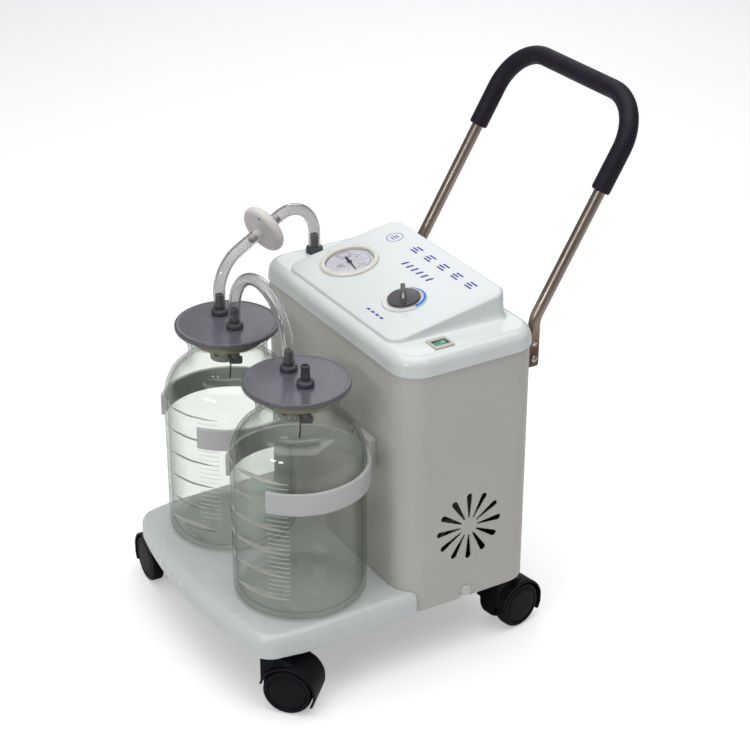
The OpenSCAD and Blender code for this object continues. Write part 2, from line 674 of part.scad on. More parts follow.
// ---- handle ----
// handle without its feet: leaning legs from leg_from up, corners and top bar
module handle_path(ro, ri, leg_from) translate([0, handle_y, bend_z]) rotate([-handle_lean, 0, 0]) {
  bar_start = leg_x - handle_bend_r;
  straight = leg_len - handle_bend_r;
  for (s = [0, 1]) mirror([s, 0, 0]) {
    run([leg_x, leg_from], 90, straight - leg_from, ro, ri);
    translate([bar_start, 0, straight]) bend(handle_bend_r, 0, 90, ro, ri);
  }
  run([-bar_start, leg_len], 0, 2 * bar_start, ro, ri);
}

// upright foot of a leg and the bend above it
module handle_foot(ro, ri) translate([leg_x, handle_y, 0]) {
  setback = bend_r * tan(handle_lean / 2);
  rotate([0, 0, 90]) {
    run([0, flat_z1 - 1.5], 90, bend_z - setback - flat_z1 + 1.5, ro, ri, 0);
    translate([bend_r, 0, bend_z - setback]) bend(bend_r, 180 - handle_lean, 180, ro, ri);
  }
}

module handle_tube() color([0.5, 0.45, 0.42]) {
  handle_path(tube_d / 2, tube_d / 2 - 1.2, bend_r * tan(handle_lean / 2));
  for (s = [0, 1]) mirror([s, 0, 0]) handle_foot(tube_d / 2, tube_d / 2 - 1.2);
  for (s = [-1, 1]) translate([s * leg_x, handle_y, 0]) difference() {
    union() {
      translate([-flat_t / 2, -flat_w / 2, flat_z0 + 4]) cube([flat_t, flat_w, flat_z1 - flat_z0 - 4]);
      translate([-flat_t / 2, -flat_w / 2 + 4, flat_z0]) cube([flat_t, flat_w - 8, 6]);
      for (dy = [-1, 1]) translate([0, dy * (flat_w / 2 - 4), flat_z0 + 4]) rotate([0, 90, 0])
        cylinder(r = 4, h = flat_t, center = true);
    }
    for (z = screw_z) translate([0, 0, z]) rotate([0, 90, 0]) cylinder(r = 2.6, h = 20, center = true);
  }
}

module handle_grip() color([0.1, 0.1, 0.11]) handle_path(grip_d / 2, tube_d / 2 + 2.4 * swell, leg_len - 95);

// angle bracket on the rear panel, its leg standing inboard of the flattened tube end
module handle_brackets() color([0.3, 0.28, 0.27]) for (s = [-1, 1]) {
  leg_w = handle_y + flat_w / 2 - housing_y1;
  x0 = s * (leg_x - flat_t / 2 - 1.5);
  bracket_h = flat_z1 - flat_z0;
  difference() {
    union() {
      translate([x0 - 1.5, housing_y1, flat_z0 - 2]) cube([3, leg_w, bracket_h]);
      translate([x0 - (s > 0 ? 20 : 0), housing_y1, flat_z0 - 2]) cube([20, 3, bracket_h]);
    }
    for (z = screw_z) {
      translate([x0, handle_y, z]) rotate([0, 90, 0]) cylinder(r = 2.6, h = 10, center = true);
      translate([x0 - s * 12, housing_y1, z]) rotate([90, 0, 0])
        cylinder(r = 2.2, h = 20, center = true);
    }
  }
}

module handle_screws() color([0.8, 0.8, 0.82]) for (s = [-1, 1], z = screw_z) {
  translate([s * (leg_x + flat_t / 2), handle_y, z]) rotate([0, s * 90, 0]) {
    screw_head(3.6, 2.4);
    translate([0, 0, -12]) cylinder(r = 2.4, h = 12 + eps);
  }
  translate([s * (leg_x - flat_t / 2 - 13.5), housing_y1 + 3, z]) rotate([-90, 0, 0]) {
    screw_head(3.6, 2.2);
    translate([0, 0, -3]) cylinder(r = 2.1, h = 3 + eps);
  }
}

// ---- rear inlet ----
module power_inlet() color([0.12, 0.12, 0.13]) translate([0, housing_y1, inlet_z]) difference() {
  union() {
    translate([-15.5, 0, -18.5]) cube([31, 2.5, 37]);
    translate([-13.5, -22, -15.5]) cube([27, 22 + eps, 31]);
  }
  translate([-11, -14, -8]) cube([22, 20, 20]);
  for (s = [-1, 1]) translate([s * 9, -30, -13]) cube([5, 60, 1], center = true);
}

// ---- motor and pump ----
module shaft_axis() translate([0, pump_y, shaft_z]) rotate([0, 90, 0]) children();

module motor_stator() color([0.42, 0.42, 0.45]) {
  shaft_axis() difference() {
    union() {
      translate([0, 0, -10]) cylinder(r = 46, h = 70);
      translate([0, 0, -46]) cylinder(r = 48, h = 8);
      translate([0, 0, 92]) cylinder(r = 40, h = 8);
      for (a = [45:90:315]) rotate([0, 0, a]) {
        translate([41, 0, -40]) cylinder(r = 3.5, h = 32);
        translate([36, 0, 58]) cylinder(r = 3.5, h = 36);
      }
    }
    translate([0, 0, -11]) cylinder(r = 25.5, h = 72);
    for (x = bearing_x) translate([0, 0, x - 5]) cylinder(r = 11, h = 10);
  }
  difference() {
    union() {
      translate([-46, pump_y - 48, base_z]) cube([118, 96, 3]);
      translate([0, pump_y - 20, base_z + 2]) cube([50, 40, 10]);
    }
    shaft_axis() cylinder(r = 45.5, h = 60);
    for (x = mount_x, dy = mount_dy) translate([x, pump_y + dy, 0]) cylinder(r = 3.2, h = 200);
  }
}

module motor_bearings() color([0.8, 0.8, 0.82]) shaft_axis()
  for (x = bearing_x) translate([0, 0, x - 3.5]) pipe(11, shaft_r + fit, 7);

// shaft with its lamination pack and the eccentric that drives the rod
module motor_rotor() color([0.6, 0.6, 0.62]) shaft_axis() {
  translate([0, 0, crank_x - 6]) cylinder(r = shaft_r, h = 126 - crank_x + 6);
  translate([0, 0, -8]) cylinder(r = 25, h = 66);
  translate([-throw, 0, crank_x - 6]) cylinder(r = 9, h = 12);
}

module cooling_fan() color([0.75, 0.76, 0.78]) shaft_axis() translate([0, 0, 104]) {
  pipe(9, shaft_r, 14);
  for (a = [0:45:315]) rotate([0, 0, a]) translate([8, -1, 0]) rotate([24, 0, 0]) cube([30, 2, 13]);
}

// box round the eccentric with a round mouth that carries the diaphragm and the head
module pump_crankcase() color([0.5, 0.51, 0.53]) translate([crank_x, pump_y, shaft_z]) difference() {
  union() {
    translate([-17, -28, -31]) cube([-46 - crank_x + 17, 56, 66]);
    translate([0, 0, 30]) cylinder(r = head_r, h = 20);
  }
  translate([-13, -22, -20]) cube([30, 44, 56]);
  translate([0, 0, 34]) cylinder(r = bowl_r, h = 20);
  rotate([0, 90, 0]) cylinder(r = 8, h = 100);
}

module pump_rod() color([0.7, 0.7, 0.72]) translate([crank_x, pump_y, shaft_z + throw]) difference() {
  union() {
    rotate([0, 90, 0]) cylinder(r = 14, h = 10, center = true);
    translate([-4, -5, 9]) cube([8, 10, 34]);
    translate([0, 0, 42]) cylinder(r = 16, h = 3);
  }
  rotate([0, 90, 0]) cylinder(r = 9 + fit, h = 20, center = true);
}

module pump_diaphragm() color([0.15, 0.15, 0.16])
  translate([crank_x, pump_y, diaphragm_z]) cylinder(r = head_r, h = diaphragm_t);

module pump_head() color([0.6, 0.61, 0.63]) translate([crank_x, pump_y, head_z]) difference() {
  union() {
    cylinder(r = head_r, h = head_h);
    for (p = [air_port, exhaust_port, gauge_port, valve_port]) translate([p[0], p[1], head_h - 1])
      cylinder(r = 4, h = port_len + 1);
  }
  translate([0, 0, -1]) cylinder(r = bowl_r, h = 6);
  for (p = [air_port, exhaust_port, gauge_port, valve_port]) translate([p[0], p[1], 0])
    cylinder(r = 2.4, h = 60);
}

// rubber feet between the motor's base plate and the chassis plate
module pump_mounts() color([0.13, 0.13, 0.14]) for (x = mount_x, dy = mount_dy)
  translate([x, pump_y + dy, plate_z + 3]) {
    cylinder(r = 9, h = base_z - plate_z - 3);
    translate([0, 0, -6]) cylinder(r = 3, h = 7);
    translate([0, 0, base_z - plate_z - 4]) cylinder(r = 3, h = 8);
  }

// hose from one of the head's ports up to q
module head_hose(port, q, turn)
  s_hose([crank_x + port[0], pump_y + port[1], inner_hose_z], q, 18, turn,
    inner_hose_ro, inner_hose_ri);

// hoses from the pump head to the cover's port, the gauge and the regulator, and the exhaust
module internal_hoses() color([0.8, 0.3, 0.25]) {
  head_hose(air_port, [port_x, port_y, strip_z - 13], 60);
  head_hose(gauge_port, [gauge_x, dial_y + nipple_dy, nipple_z + 8], 60);
  head_hose(valve_port, [knob_x, dial_y + nipple_dy, nipple_z + 8], 75);
  translate([crank_x + exhaust_port[0], pump_y, 0]) rotate([0, 0, 90]) {
    run([0, inner_hose_z], 90, 16, inner_hose_ro, inner_hose_ri, 0);
    translate([20, 0, inner_hose_z + 16]) bend(20, 90, 180, inner_hose_ro, inner_hose_ri);
    run([20, inner_hose_z + 36], 0, 40, inner_hose_ro, inner_hose_ri, lap, 0);
  }
}

// ---- casters ----
module caster_stems() color([0.55, 0.56, 0.58]) for (c = CASTERS) translate([c[0], c[1], 0]) {
  translate([0, 0, 31]) cylinder(r = stem_r, h = plate_z + 3 - 31);
  translate([0, 0, neck_top_z + 0.6]) cylinder(r = 12, h = plate_z - neck_top_z - 0.6);
  translate([0, 0, plate_z + 3]) cylinder(r = 7, h = 5);
}

module at_caster(c) translate([c[0], c[1], 0]) rotate([0, 0, c[2]]) children();

// cylinder on the wheels' axle, half_w to each side
module on_axle(r, half_w) translate([caster_trail, 0, wheel_r]) rotate([90, 0, 0])
  cylinder(r = r, h = 2 * half_w, center = true);

// fender over both wheels, central web with the axle's bore, and neck with the stem's bore
module caster_hood(c) color([0.1, 0.1, 0.12]) at_caster(c) difference() {
  union() {
    intersection() {
      on_axle(hood_r, hood_half);
      union() {
        translate([-50, -50, 32]) cube([150, 100, 40]);
        translate([caster_trail, -50, hood_tip_z]) cube([60, 100, 30]);
        translate([-50, -web_half, hood_tip_z]) cube([150, 2 * web_half, 50]);
      }
    }
    translate([0, 0, 28]) cylinder(r = caster_neck_r, h = neck_top_z - 28);
  }
  for (s = [-1, 1]) translate([caster_trail, s * (web_half + 25), wheel_r]) rotate([90, 0, 0])
    cylinder(r = wheel_r + 1.5, h = 50, center = true);
  translate([0, 0, 29]) cylinder(r = stem_r + fit, h = 60);
  on_axle(axle_r + fit, 30);
}
module caster_hood_front_left() caster_hood(caster_front_left);
module caster_hood_front_right() caster_hood(caster_front_right);
module caster_hood_rear_left() caster_hood(caster_rear_left);
module caster_hood_rear_right() caster_hood(caster_rear_right);

// two wheels pressed on one axle
module caster_wheels(c) color([0.14, 0.14, 0.16]) at_caster(c)
  translate([caster_trail, 0, wheel_r]) rotate([90, 0, 0]) {
    for (s = [0, 1]) mirror([0, 0, s]) translate([0, 0, web_half + 0.5]) rotate_extrude()
      polygon(concat([[0, 0], [wheel_r - 1, 0], [wheel_r, 1]],
        arc(wheel_r - 3, wheel_t - 3, 3, 0, 90, 4),
        [[wheel_r - 6, wheel_t], [wheel_r - 8, wheel_t - 1], [0, wheel_t - 1]]));
    cylinder(r = axle_r, h = 2 * web_half + 2, center = true);
  }
module caster_wheels_front_left() caster_wheels(caster_front_left);
module caster_wheels_front_right() caster_wheels(caster_front_right);
module caster_wheels_rear_left() caster_wheels(caster_rear_left);
module caster_wheels_rear_right() caster_wheels(caster_rear_right);

base_tray();
chassis_plate();
base_screws();
housing_shell();
housing_screws();
top_cover();
bottle_clip_left();
bottle_clip_right();
clip_screws();
vacuum_port();
gauge_case();
gauge_dial();
gauge_lens();
gauge_bezel();
gauge_needle();
regulator_bezel();
regulator_valve();
regulator_knob();
switch_frame();
switch_rocker();
handle_tube();
handle_grip();
handle_brackets();
handle_screws();
power_inlet();
motor_stator();
motor_bearings();
motor_rotor();
cooling_fan();
pump_crankcase();
pump_rod();
pump_diaphragm();
pump_head();
pump_mounts();
internal_hoses();
bottle_left();
lid_left();
lid_gasket_left();
lid_spigots_left();
float_cage_left();
float_left();
bottle_right();
lid_right();
lid_gasket_right();
lid_spigots_right();
float_cage_right();
float_right();
crossover_hose();
filter_inlet_hose();
bacterial_filter();
filter_outlet_hose();
caster_stems();
caster_hood_front_left();
caster_hood_front_right();
caster_hood_rear_left();
caster_hood_rear_right();
caster_wheels_front_left();
caster_wheels_front_right();
caster_wheels_rear_left();
caster_wheels_rear_right();
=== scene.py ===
"""Looks of a two-jar mobile suction pump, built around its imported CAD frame.

Lengths are in mm until a mesh is made. A shape is (vertices, faces); a piece is a shape that rides on a body.
"""
import json
import math
import bmesh
import bpy
from mathutils import Matrix, Vector

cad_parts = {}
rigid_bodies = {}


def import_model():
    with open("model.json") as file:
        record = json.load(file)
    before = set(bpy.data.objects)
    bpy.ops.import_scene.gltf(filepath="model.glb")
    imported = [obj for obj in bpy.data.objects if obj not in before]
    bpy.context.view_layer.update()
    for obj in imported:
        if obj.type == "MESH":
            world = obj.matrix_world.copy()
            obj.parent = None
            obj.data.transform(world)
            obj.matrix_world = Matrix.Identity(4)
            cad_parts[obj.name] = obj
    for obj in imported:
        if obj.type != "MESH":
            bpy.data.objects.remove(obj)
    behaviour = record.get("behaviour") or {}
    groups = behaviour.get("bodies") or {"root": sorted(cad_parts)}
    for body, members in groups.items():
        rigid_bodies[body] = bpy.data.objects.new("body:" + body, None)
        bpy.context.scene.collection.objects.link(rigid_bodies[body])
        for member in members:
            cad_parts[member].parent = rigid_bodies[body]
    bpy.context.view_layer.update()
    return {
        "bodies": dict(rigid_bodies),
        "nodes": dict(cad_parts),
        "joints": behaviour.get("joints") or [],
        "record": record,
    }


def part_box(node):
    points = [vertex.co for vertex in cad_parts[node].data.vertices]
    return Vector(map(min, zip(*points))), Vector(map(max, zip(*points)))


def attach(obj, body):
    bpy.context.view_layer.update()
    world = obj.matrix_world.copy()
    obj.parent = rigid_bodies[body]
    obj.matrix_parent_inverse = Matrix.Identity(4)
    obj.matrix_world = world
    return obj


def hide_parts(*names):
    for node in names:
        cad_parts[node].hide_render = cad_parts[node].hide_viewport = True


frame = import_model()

MM = 0.001
SIDES = {"left": -1, "right": 1}
JOINTS = {j["name"]: j for j in frame["joints"]}


# ---- places, from the frame ----
def box(node):
    low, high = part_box(node)
    return low / MM, high / MM


def middle(node):
    low, high = box(node)
    return (low + high) / 2


def joint_place(name):
    return Vector(JOINTS[name]["pos_m"]) / MM


TRAY_LOW, TRAY_HIGH = box("base_tray")
HOUSING_LOW, HOUSING_HIGH = box("housing_shell")
COVER_LOW, COVER_HIGH = box("top_cover")
JAR = {side: middle("bottle_" + side) for side in SIDES}
JAR_Y = JAR["left"].y
JAR_LOW, JAR_HIGH = box("bottle_left")
LID_TOP = box("lid_left")[1].z
STRIP_Z = COVER_LOW.z + 19.5            # flat rim of the cover, round the console
CONSOLE_TILT = math.radians(10)
CONSOLE_Y = HOUSING_LOW.y + 10
CONSOLE_DEPTH = 134
CONSOLE_HALF = 105
CONSOLE_R = 15
CONSOLE_FRONT_Z = STRIP_Z + 3.5
CORNER_R = 28


def console_z(y):
    return CONSOLE_FRONT_Z + math.tan(CONSOLE_TILT) * (y - CONSOLE_Y)


def shift(x, y, z):
    return Matrix.Translation((x, y, z))


def turn(degrees, axis):
    return Matrix.Rotation(math.radians(degrees), 4, axis)


def on_console(x, y):
    """Frame on the sloping plate: local Z along its normal."""
    return shift(x, y, console_z(y)) @ Matrix.Rotation(CONSOLE_TILT, 4, "X")


GAUGE = on_console(middle("gauge_bezel").x, joint_place("gauge_needle_turn").y)
KNOB = on_console(middle("regulator_bezel").x, joint_place("regulator_knob_turn").y)


# ---- shapes: each is (vertices, faces) ----
def arc2(cx, cy, r, start, end, steps, ry=None):
    """Points along an arc, as 2-D tuples; ry makes it an ellipse."""
    ry = r if ry is None else ry
    angles = [math.radians(start + (end - start) * i / steps) for i in range(steps + 1)]
    return [(cx + r * math.cos(a), cy + ry * math.sin(a)) for a in angles]


def join(*shapes):
    verts, faces = [], []
    for v, f in shapes:
        base = len(verts)
        verts += [Vector(p) for p in v]
        faces += [[i + base for i in face] for face in f]
    return verts, faces


def moved(shape, matrix):
    verts, faces = shape
    if matrix.determinant() < 0:
        faces = [face[::-1] for face in faces]
    return [matrix @ Vector(p) for p in verts], faces


def loft(rings, closed=False):
    """Skin over rings of equal length; a ring of one point closes a pole. closed joins last to first."""
    verts, starts = [], []
    for ring in rings:
        starts.append(len(verts))
        verts += [Vector(p) for p in ring]
    faces = []
    pairs = list(zip(range(len(rings)), range(1, len(rings))))
    if closed:
        pairs.append((len(rings) - 1, 0))
    for a, b in pairs:
        na, nb = len(rings[a]), len(rings[b])
        n = max(na, nb)
        for i in range(n):
            j = (i + 1) % n
            if na == nb:
                faces.append([starts[a] + i, starts[a] + j, starts[b] + j, starts[b] + i])
            elif na == 1:
                faces.append([starts[a], starts[b] + j, starts[b] + i])
            else:
                faces.append([starts[a] + i, starts[a] + j, starts[b]])
    if not closed:
        if len(rings[0]) > 1:
            faces.append([starts[0] + i for i in range(len(rings[0]))][::-1])
        if len(rings[-1]) > 1:
            faces.append([starts[-1] + i for i in range(len(rings[-1]))])
    return verts, faces


def lathe(profile, steps=96, closed=False):
    """Profile of (radius, height) points turned about Z. closed makes a ring-shaped solid."""
    rings = []
    for r, z in profile:
        if r < 1e-6:
            rings.append([(0, 0, z)])
        else:
            rings.append([(x, y, z) for x, y in arc2(0, 0, r, 0, 360, steps)[:-1]])
    return loft(rings, closed=closed)


def ring_frames(path):
    """Position, side and up vectors along a path, turned as little as possible."""
    path = [Vector(p) for p in path]
    tangents = []
    for i in range(len(path)):
        a = path[max(i - 1, 0)]
        b = path[min(i + 1, len(path) - 1)]
        tangents.append((b - a).normalized())
    side = tangents[0].orthogonal().normalized()
    if abs(tangents[0].x) < 0.9:
        side = Vector((1, 0, 0))
        side = (side - tangents[0] * side.dot(tangents[0])).normalized()
    frames = []
    for p, t in zip(path, tangents):
        side = (side - t * side.dot(t)).normalized()
        frames.append((p, side, t.cross(side)))
    return frames


def circle(r, steps):
    return arc2(0, 0, r, 0, 360, steps)[:-1]


def rounded_box_outline(half_w, half_h, r, steps=4):
    """Outline of a rectangle with rounded corners, centred on the origin."""
    w, h = half_w - r, half_h - r
    points = []
    for cx, cy, a in ((w, h, 0), (-w, h, 90), (-w, -h, 180), (w, -h, 270)):
        points += arc2(cx, cy, r, a, a + 90, steps)
    return points


def sweep(path, sections):
    """Solid swept along a path. sections is one outline or a list with one for each point."""
    if isinstance(sections[0][0], (int, float)):
        sections = [sections] * len(path)
    rings = [[p + side * u + up * v for u, v in section]
             for (p, side, up), section in zip(ring_frames(path), sections)]
    return loft(rings)


def hose(path, outer, inner, steps=40, lip=0.5):
    """Tube with a wall and slightly rounded ends."""
    frames = ring_frames(path)

    def ring(frame, r):
        p, side, up = frame
        return [p + side * u + up * v for u, v in circle(r, steps)]

    def nudge(frame, toward, dist):
        p, side, up = frame
        return p + (toward[0] - p).normalized() * dist, side, up

    first, last = frames[0], frames[-1]
    outer_rings = [ring(first, outer - lip), ring(nudge(first, frames[1], lip), outer)]
    outer_rings += [ring(f, outer) for f in frames[1:-1]]
    outer_rings += [ring(nudge(last, frames[-2], lip), outer), ring(last, outer - lip)]
    inner_rings = [ring(f, inner) for f in reversed(frames)]
    return loft(outer_rings + inner_rings, closed=True)


def slab(outline, z0, z1, soft=0.0):
    """Prism over a 2-D outline, with soft edges when soft is above zero."""
    steps = 3
    def ring(inset, z):
        return [(x, y, z) for x, y in inset_outline(outline, inset)]

    if soft <= 0:
        return loft([ring(0, z0), ring(0, z1)])
    rings = []
    for i in range(steps + 1):
        a = math.radians(90 * i / steps)
        rings.append(ring(soft * (1 - math.sin(a)), z0 + soft * (1 - math.cos(a))))
    for i in range(steps + 1):
        a = math.radians(90 * i / steps)
        rings.append(ring(soft * (1 - math.cos(a)), z1 - soft * (1 - math.sin(a))))
    return loft(rings)


def inset_outline(outline, inset):
    """A counter-clockwise outline moved inwards by inset."""
    if abs(inset) < 1e-9:
        return list(outline)
    result = []
    n = len(outline)
    for i in range(n):
        before, here, after = Vector(outline[i - 1]), Vector(outline[i]), Vector(outline[(i + 1) % n])
        a, b = (here - before).normalized(), (after - here).normalized()
        normal = Vector((-(a.y + b.y), a.x + b.x)).normalized()
        stretch = max(normal.dot(Vector((-a.y, a.x))), 0.35)
        result.append(tuple(here + normal * (inset / stretch)))
    return result


def rod(r, z0, z1, place, steps=24):
    """Round bar along the place's Z axis, mostly used as a drill."""
    return moved(slab(circle(r, steps), z0, z1), place)


def block(w, d, h, soft=0.6, corner=None):
    """Softened box, centred in X and Y, standing on z = 0."""
    corner = 1.5 * soft if corner is None else corner
    return slab(rounded_box_outline(w / 2, d / 2, corner), 0, h, soft)


# ---- pieces ----
def solid(name, shape, material=None, sharp=40, flat=False):
    """Mesh object of a shape, with no body yet."""
    verts, faces = shape
    mesh = bpy.data.meshes.new(name)
    mesh.from_pydata([Vector(v) * MM for v in verts], [], faces)
    mesh.validate()
    obj = bpy.data.objects.new(name, mesh)
    bpy.context.scene.collection.objects.link(obj)
    finish_mesh(obj, sharp, flat)
    if material:
        mesh.materials.append(material)
    return obj


def piece(name, shape, body, material, stands_for=(), sharp=40, flat=False):
    obj = solid(name, shape, material, sharp, flat)
    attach(obj, body)
    if stands_for:
        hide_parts(*stands_for)
    return obj


def finish_mesh(obj, sharp, flat=False):
    mesh = obj.data
    mesh.polygons.foreach_set("use_smooth", [not flat] * len(mesh.polygons))
    if not flat:
        mesh.set_sharp_from_angle(angle=math.radians(sharp))
    mesh.update()


def bake(obj, sharp=40):
    """Applies the object's modifiers to its mesh."""
    graph = bpy.context.evaluated_depsgraph_get()
    graph.update()
    result = bpy.data.meshes.new_from_object(obj.evaluated_get(graph))
    materials = list(obj.data.materials)
    obj.modifiers.clear()
    obj.data = result
    result.materials.clear()
    for material in materials:
        result.materials.append(material)
    finish_mesh(obj, sharp)


def carve(obj, cutter, sharp=40, bevel=0.0):
    """Cuts a closed shape out of obj, then softens the new edges."""
    tool = solid("cutter", cutter)
    cut = obj.modifiers.new("cut", "BOOLEAN")
    cut.operation = "DIFFERENCE"
    cut.solver = "EXACT"
    cut.object = tool
    if bevel > 0:
        soften(obj, bevel, 55)
    bake(obj, sharp)
    bpy.data.objects.remove(tool)


def soften(obj, width, angle):
    bevel = obj.modifiers.new("soft_edges", "BEVEL")
    bevel.width = width * MM
    bevel.segments = 2
    bevel.limit_method = "ANGLE"
    bevel.angle_limit = math.radians(angle)
    bevel.harden_normals = False


def weigh_normals(obj):
    """Keeps large flat faces flat beside their rounded edges."""
    weighted = obj.modifiers.new("flat_faces", "WEIGHTED_NORMAL")
    weighted.keep_sharp = True
    weighted.weight = 90


# ---- materials ----
class Nodes:
    """Small helper that adds shader nodes and links them."""

    def __init__(self, name):
        self.material = bpy.data.materials.new(name)
        self.material.use_nodes = True
        self.tree = self.material.node_tree
        self.tree.nodes.clear()
        self.output = self.add("ShaderNodeOutputMaterial")
        self.coords = self.add("ShaderNodeTexCoord").outputs["Object"]

    def add(self, kind, **values):
        node = self.tree.nodes.new(kind)
        for key, value in values.items():
            setattr(node, key, value)
        return node

    def link(self, a, b):
        self.tree.links.new(a, b)

    def noise(self, scale, detail=3.0, stretch=(1, 1, 1), distortion=0.0):
        """Noise value with features about 1 / scale metres wide."""
        mapping = self.add("ShaderNodeMapping")
        mapping.inputs["Scale"].default_value = stretch
        self.link(self.coords, mapping.inputs["Vector"])
        noise = self.add("ShaderNodeTexNoise")
        noise.inputs["Scale"].default_value = scale
        noise.inputs["Detail"].default_value = detail
        noise.inputs["Distortion"].default_value = distortion
        self.link(mapping.outputs["Vector"], noise.inputs["Vector"])
        return noise.outputs["Fac"]

    def ramp(self, value, low, high, start=0.35, end=0.65):
        """Colour between low and high as value goes from start to end."""
        node = self.add("ShaderNodeValToRGB")
        node.color_ramp.elements[0].position = start
        node.color_ramp.elements[1].position = end
        node.color_ramp.elements[0].color = (*low, 1)
        node.color_ramp.elements[1].color = (*high, 1)
        self.link(value, node.inputs["Fac"])
        return node.outputs["Color"]

    def spread(self, value, low, high):
        node = self.add("ShaderNodeMapRange")
        node.inputs["From Min"].default_value = 0.3
        node.inputs["From Max"].default_value = 0.7
        node.inputs["To Min"].default_value = low
        node.inputs["To Max"].default_value = high
        self.link(value, node.inputs["Value"])
        return node.outputs["Result"]

    def bump(self, value, strength, height):
        node = self.add("ShaderNodeBump")
        node.inputs["Strength"].default_value = strength
        node.inputs["Distance"].default_value = height * MM
        self.link(value, node.inputs["Height"])
        return node.outputs["Normal"]

    def mix(self, share, first, second):
        """Blend of two shaders; share is a number or an output, and 1 shows the second."""
        node = self.add("ShaderNodeMixShader")
        if isinstance(share, (int, float)):
            node.inputs["Fac"].default_value = share
        else:
            self.link(share, node.inputs["Fac"])
        self.link(first, node.inputs[1])
        self.link(second, node.inputs[2])
        return node.outputs["Shader"]

    def principled(self, **values):
        node = self.add("ShaderNodeBsdfPrincipled")
        for key, value in values.items():
            node.inputs[key.replace("_", " ")].default_value = value
        return node

    def show(self, shader):
        self.link(shader, self.output.inputs["Surface"])
        return self.material


def tinted(color, factor):
    return tuple(min(c * factor, 1.0) for c in color)


def moulded(name, color, rough=0.35, grain=900, grain_height=0.03, patch=14, shade=0.94, coat=0.0,
            metallic=0.0, rough_spread=0.08, shine=0.5, subsurface=0.0):
    """Opaque finish: soft colour patches, uneven gloss and a fine grain."""
    n = Nodes(name)
    patches = n.noise(patch, 4.0)
    fine = n.noise(grain, 2.0)
    shader = n.principled(Metallic=metallic, Coat_Weight=coat, Coat_Roughness=0.12,
                          Specular_IOR_Level=shine)
    if subsurface > 0:
        shader.inputs["Subsurface Weight"].default_value = subsurface
        shader.inputs["Subsurface Scale"].default_value = 0.004
    n.link(n.ramp(patches, tinted(color, shade), color), shader.inputs["Base Color"])
    half = rough_spread / 2
    n.link(n.spread(n.noise(patch * 6, 3.0), rough - half, rough + half), shader.inputs["Roughness"])
    n.link(n.bump(fine, 0.35, grain_height), shader.inputs["Normal"])
    return n.show(shader.outputs["BSDF"])


def clear(name, color, rough, ior, shadow, ripple, ripple_scale, milk, milk_color):
    """Clear plastic with some milk in it; light passes straight through it as a tinted shadow."""
    n = Nodes(name)
    shader = n.principled(Transmission_Weight=1.0, IOR=ior)
    waves = n.noise(ripple_scale, 2.0, distortion=0.6)
    n.link(n.ramp(waves, tinted(color, 0.97), color), shader.inputs["Base Color"])
    n.link(n.spread(n.noise(ripple_scale * 5), rough, rough + 0.03), shader.inputs["Roughness"])
    n.link(n.bump(waves, ripple, 0.6), shader.inputs["Normal"])
    haze = n.add("ShaderNodeBsdfDiffuse")
    haze.inputs["Color"].default_value = (*milk_color, 1)
    through = n.add("ShaderNodeBsdfTransparent")
    through.inputs["Color"].default_value = (*shadow, 1)
    surface = n.mix(milk, shader.outputs["BSDF"], haze.outputs["BSDF"])
    light = n.add("ShaderNodeLightPath")
    return n.show(n.mix(light.outputs["Is Shadow Ray"], surface, through.outputs["BSDF"]))


def thin_glass(name, tint, edge_tint, ripple=0.05):
    """Thin clear wall: not bent, darker where it is seen on edge, with sharp reflections."""
    glass_ior = 1.45
    n = Nodes(name)
    waves = n.noise(9, 2.0, distortion=0.6)
    facing = n.add("ShaderNodeLayerWeight")
    facing.inputs["Blend"].default_value = 0.3
    body = n.add("ShaderNodeBsdfTransparent")
    n.link(n.ramp(facing.outputs["Facing"], tint, edge_tint, 0.25, 0.95), body.inputs["Color"])
    shine = n.add("ShaderNodeBsdfGlossy")
    n.link(n.spread(waves, 0.0, 0.03), shine.inputs["Roughness"])
    n.link(n.bump(waves, ripple, 0.6), shine.inputs["Normal"])
    side = n.add("ShaderNodeNewGeometry")
    ior = n.add("ShaderNodeMapRange")
    ior.inputs["To Min"].default_value = glass_ior
    ior.inputs["To Max"].default_value = 1 / glass_ior
    n.link(side.outputs["Backfacing"], ior.inputs["Value"])
    amount = n.add("ShaderNodeFresnel")
    n.link(ior.outputs["Result"], amount.inputs["IOR"])
    return n.show(n.mix(amount.outputs["Fac"], body.outputs["BSDF"], shine.outputs["BSDF"]))


def foam(name, color):
    """Closed-cell foam: tiny cells, a few pits and a soft sheen."""
    n = Nodes(name)
    cells = n.add("ShaderNodeTexVoronoi")
    cells.inputs["Scale"].default_value = 1500
    n.link(n.coords, cells.inputs["Vector"])
    shader = n.principled(Sheen_Weight=0.06, Sheen_Roughness=0.5, Specular_IOR_Level=0.3)
    shader.inputs["Sheen Tint"].default_value = (0.6, 0.5, 0.7, 1)
    n.link(n.ramp(n.noise(60, 5.0), tinted(color, 0.75), tinted(color, 1.3)), shader.inputs["Base Color"])
    n.link(n.spread(n.noise(40), 0.5, 0.68), shader.inputs["Roughness"])
    height = n.add("ShaderNodeMath", operation="ADD")
    n.link(cells.outputs["Distance"], height.inputs[0])
    n.link(n.noise(300, 4.0), height.inputs[1])
    n.link(n.bump(height.outputs["Value"], 0.5, 0.12), shader.inputs["Normal"])
    return n.show(shader.outputs["BSDF"])


def steel(name, color, rough, grain=500):
    return moulded(name, color, rough, grain, 0.02, 30, 0.82, metallic=1.0, rough_spread=0.14)


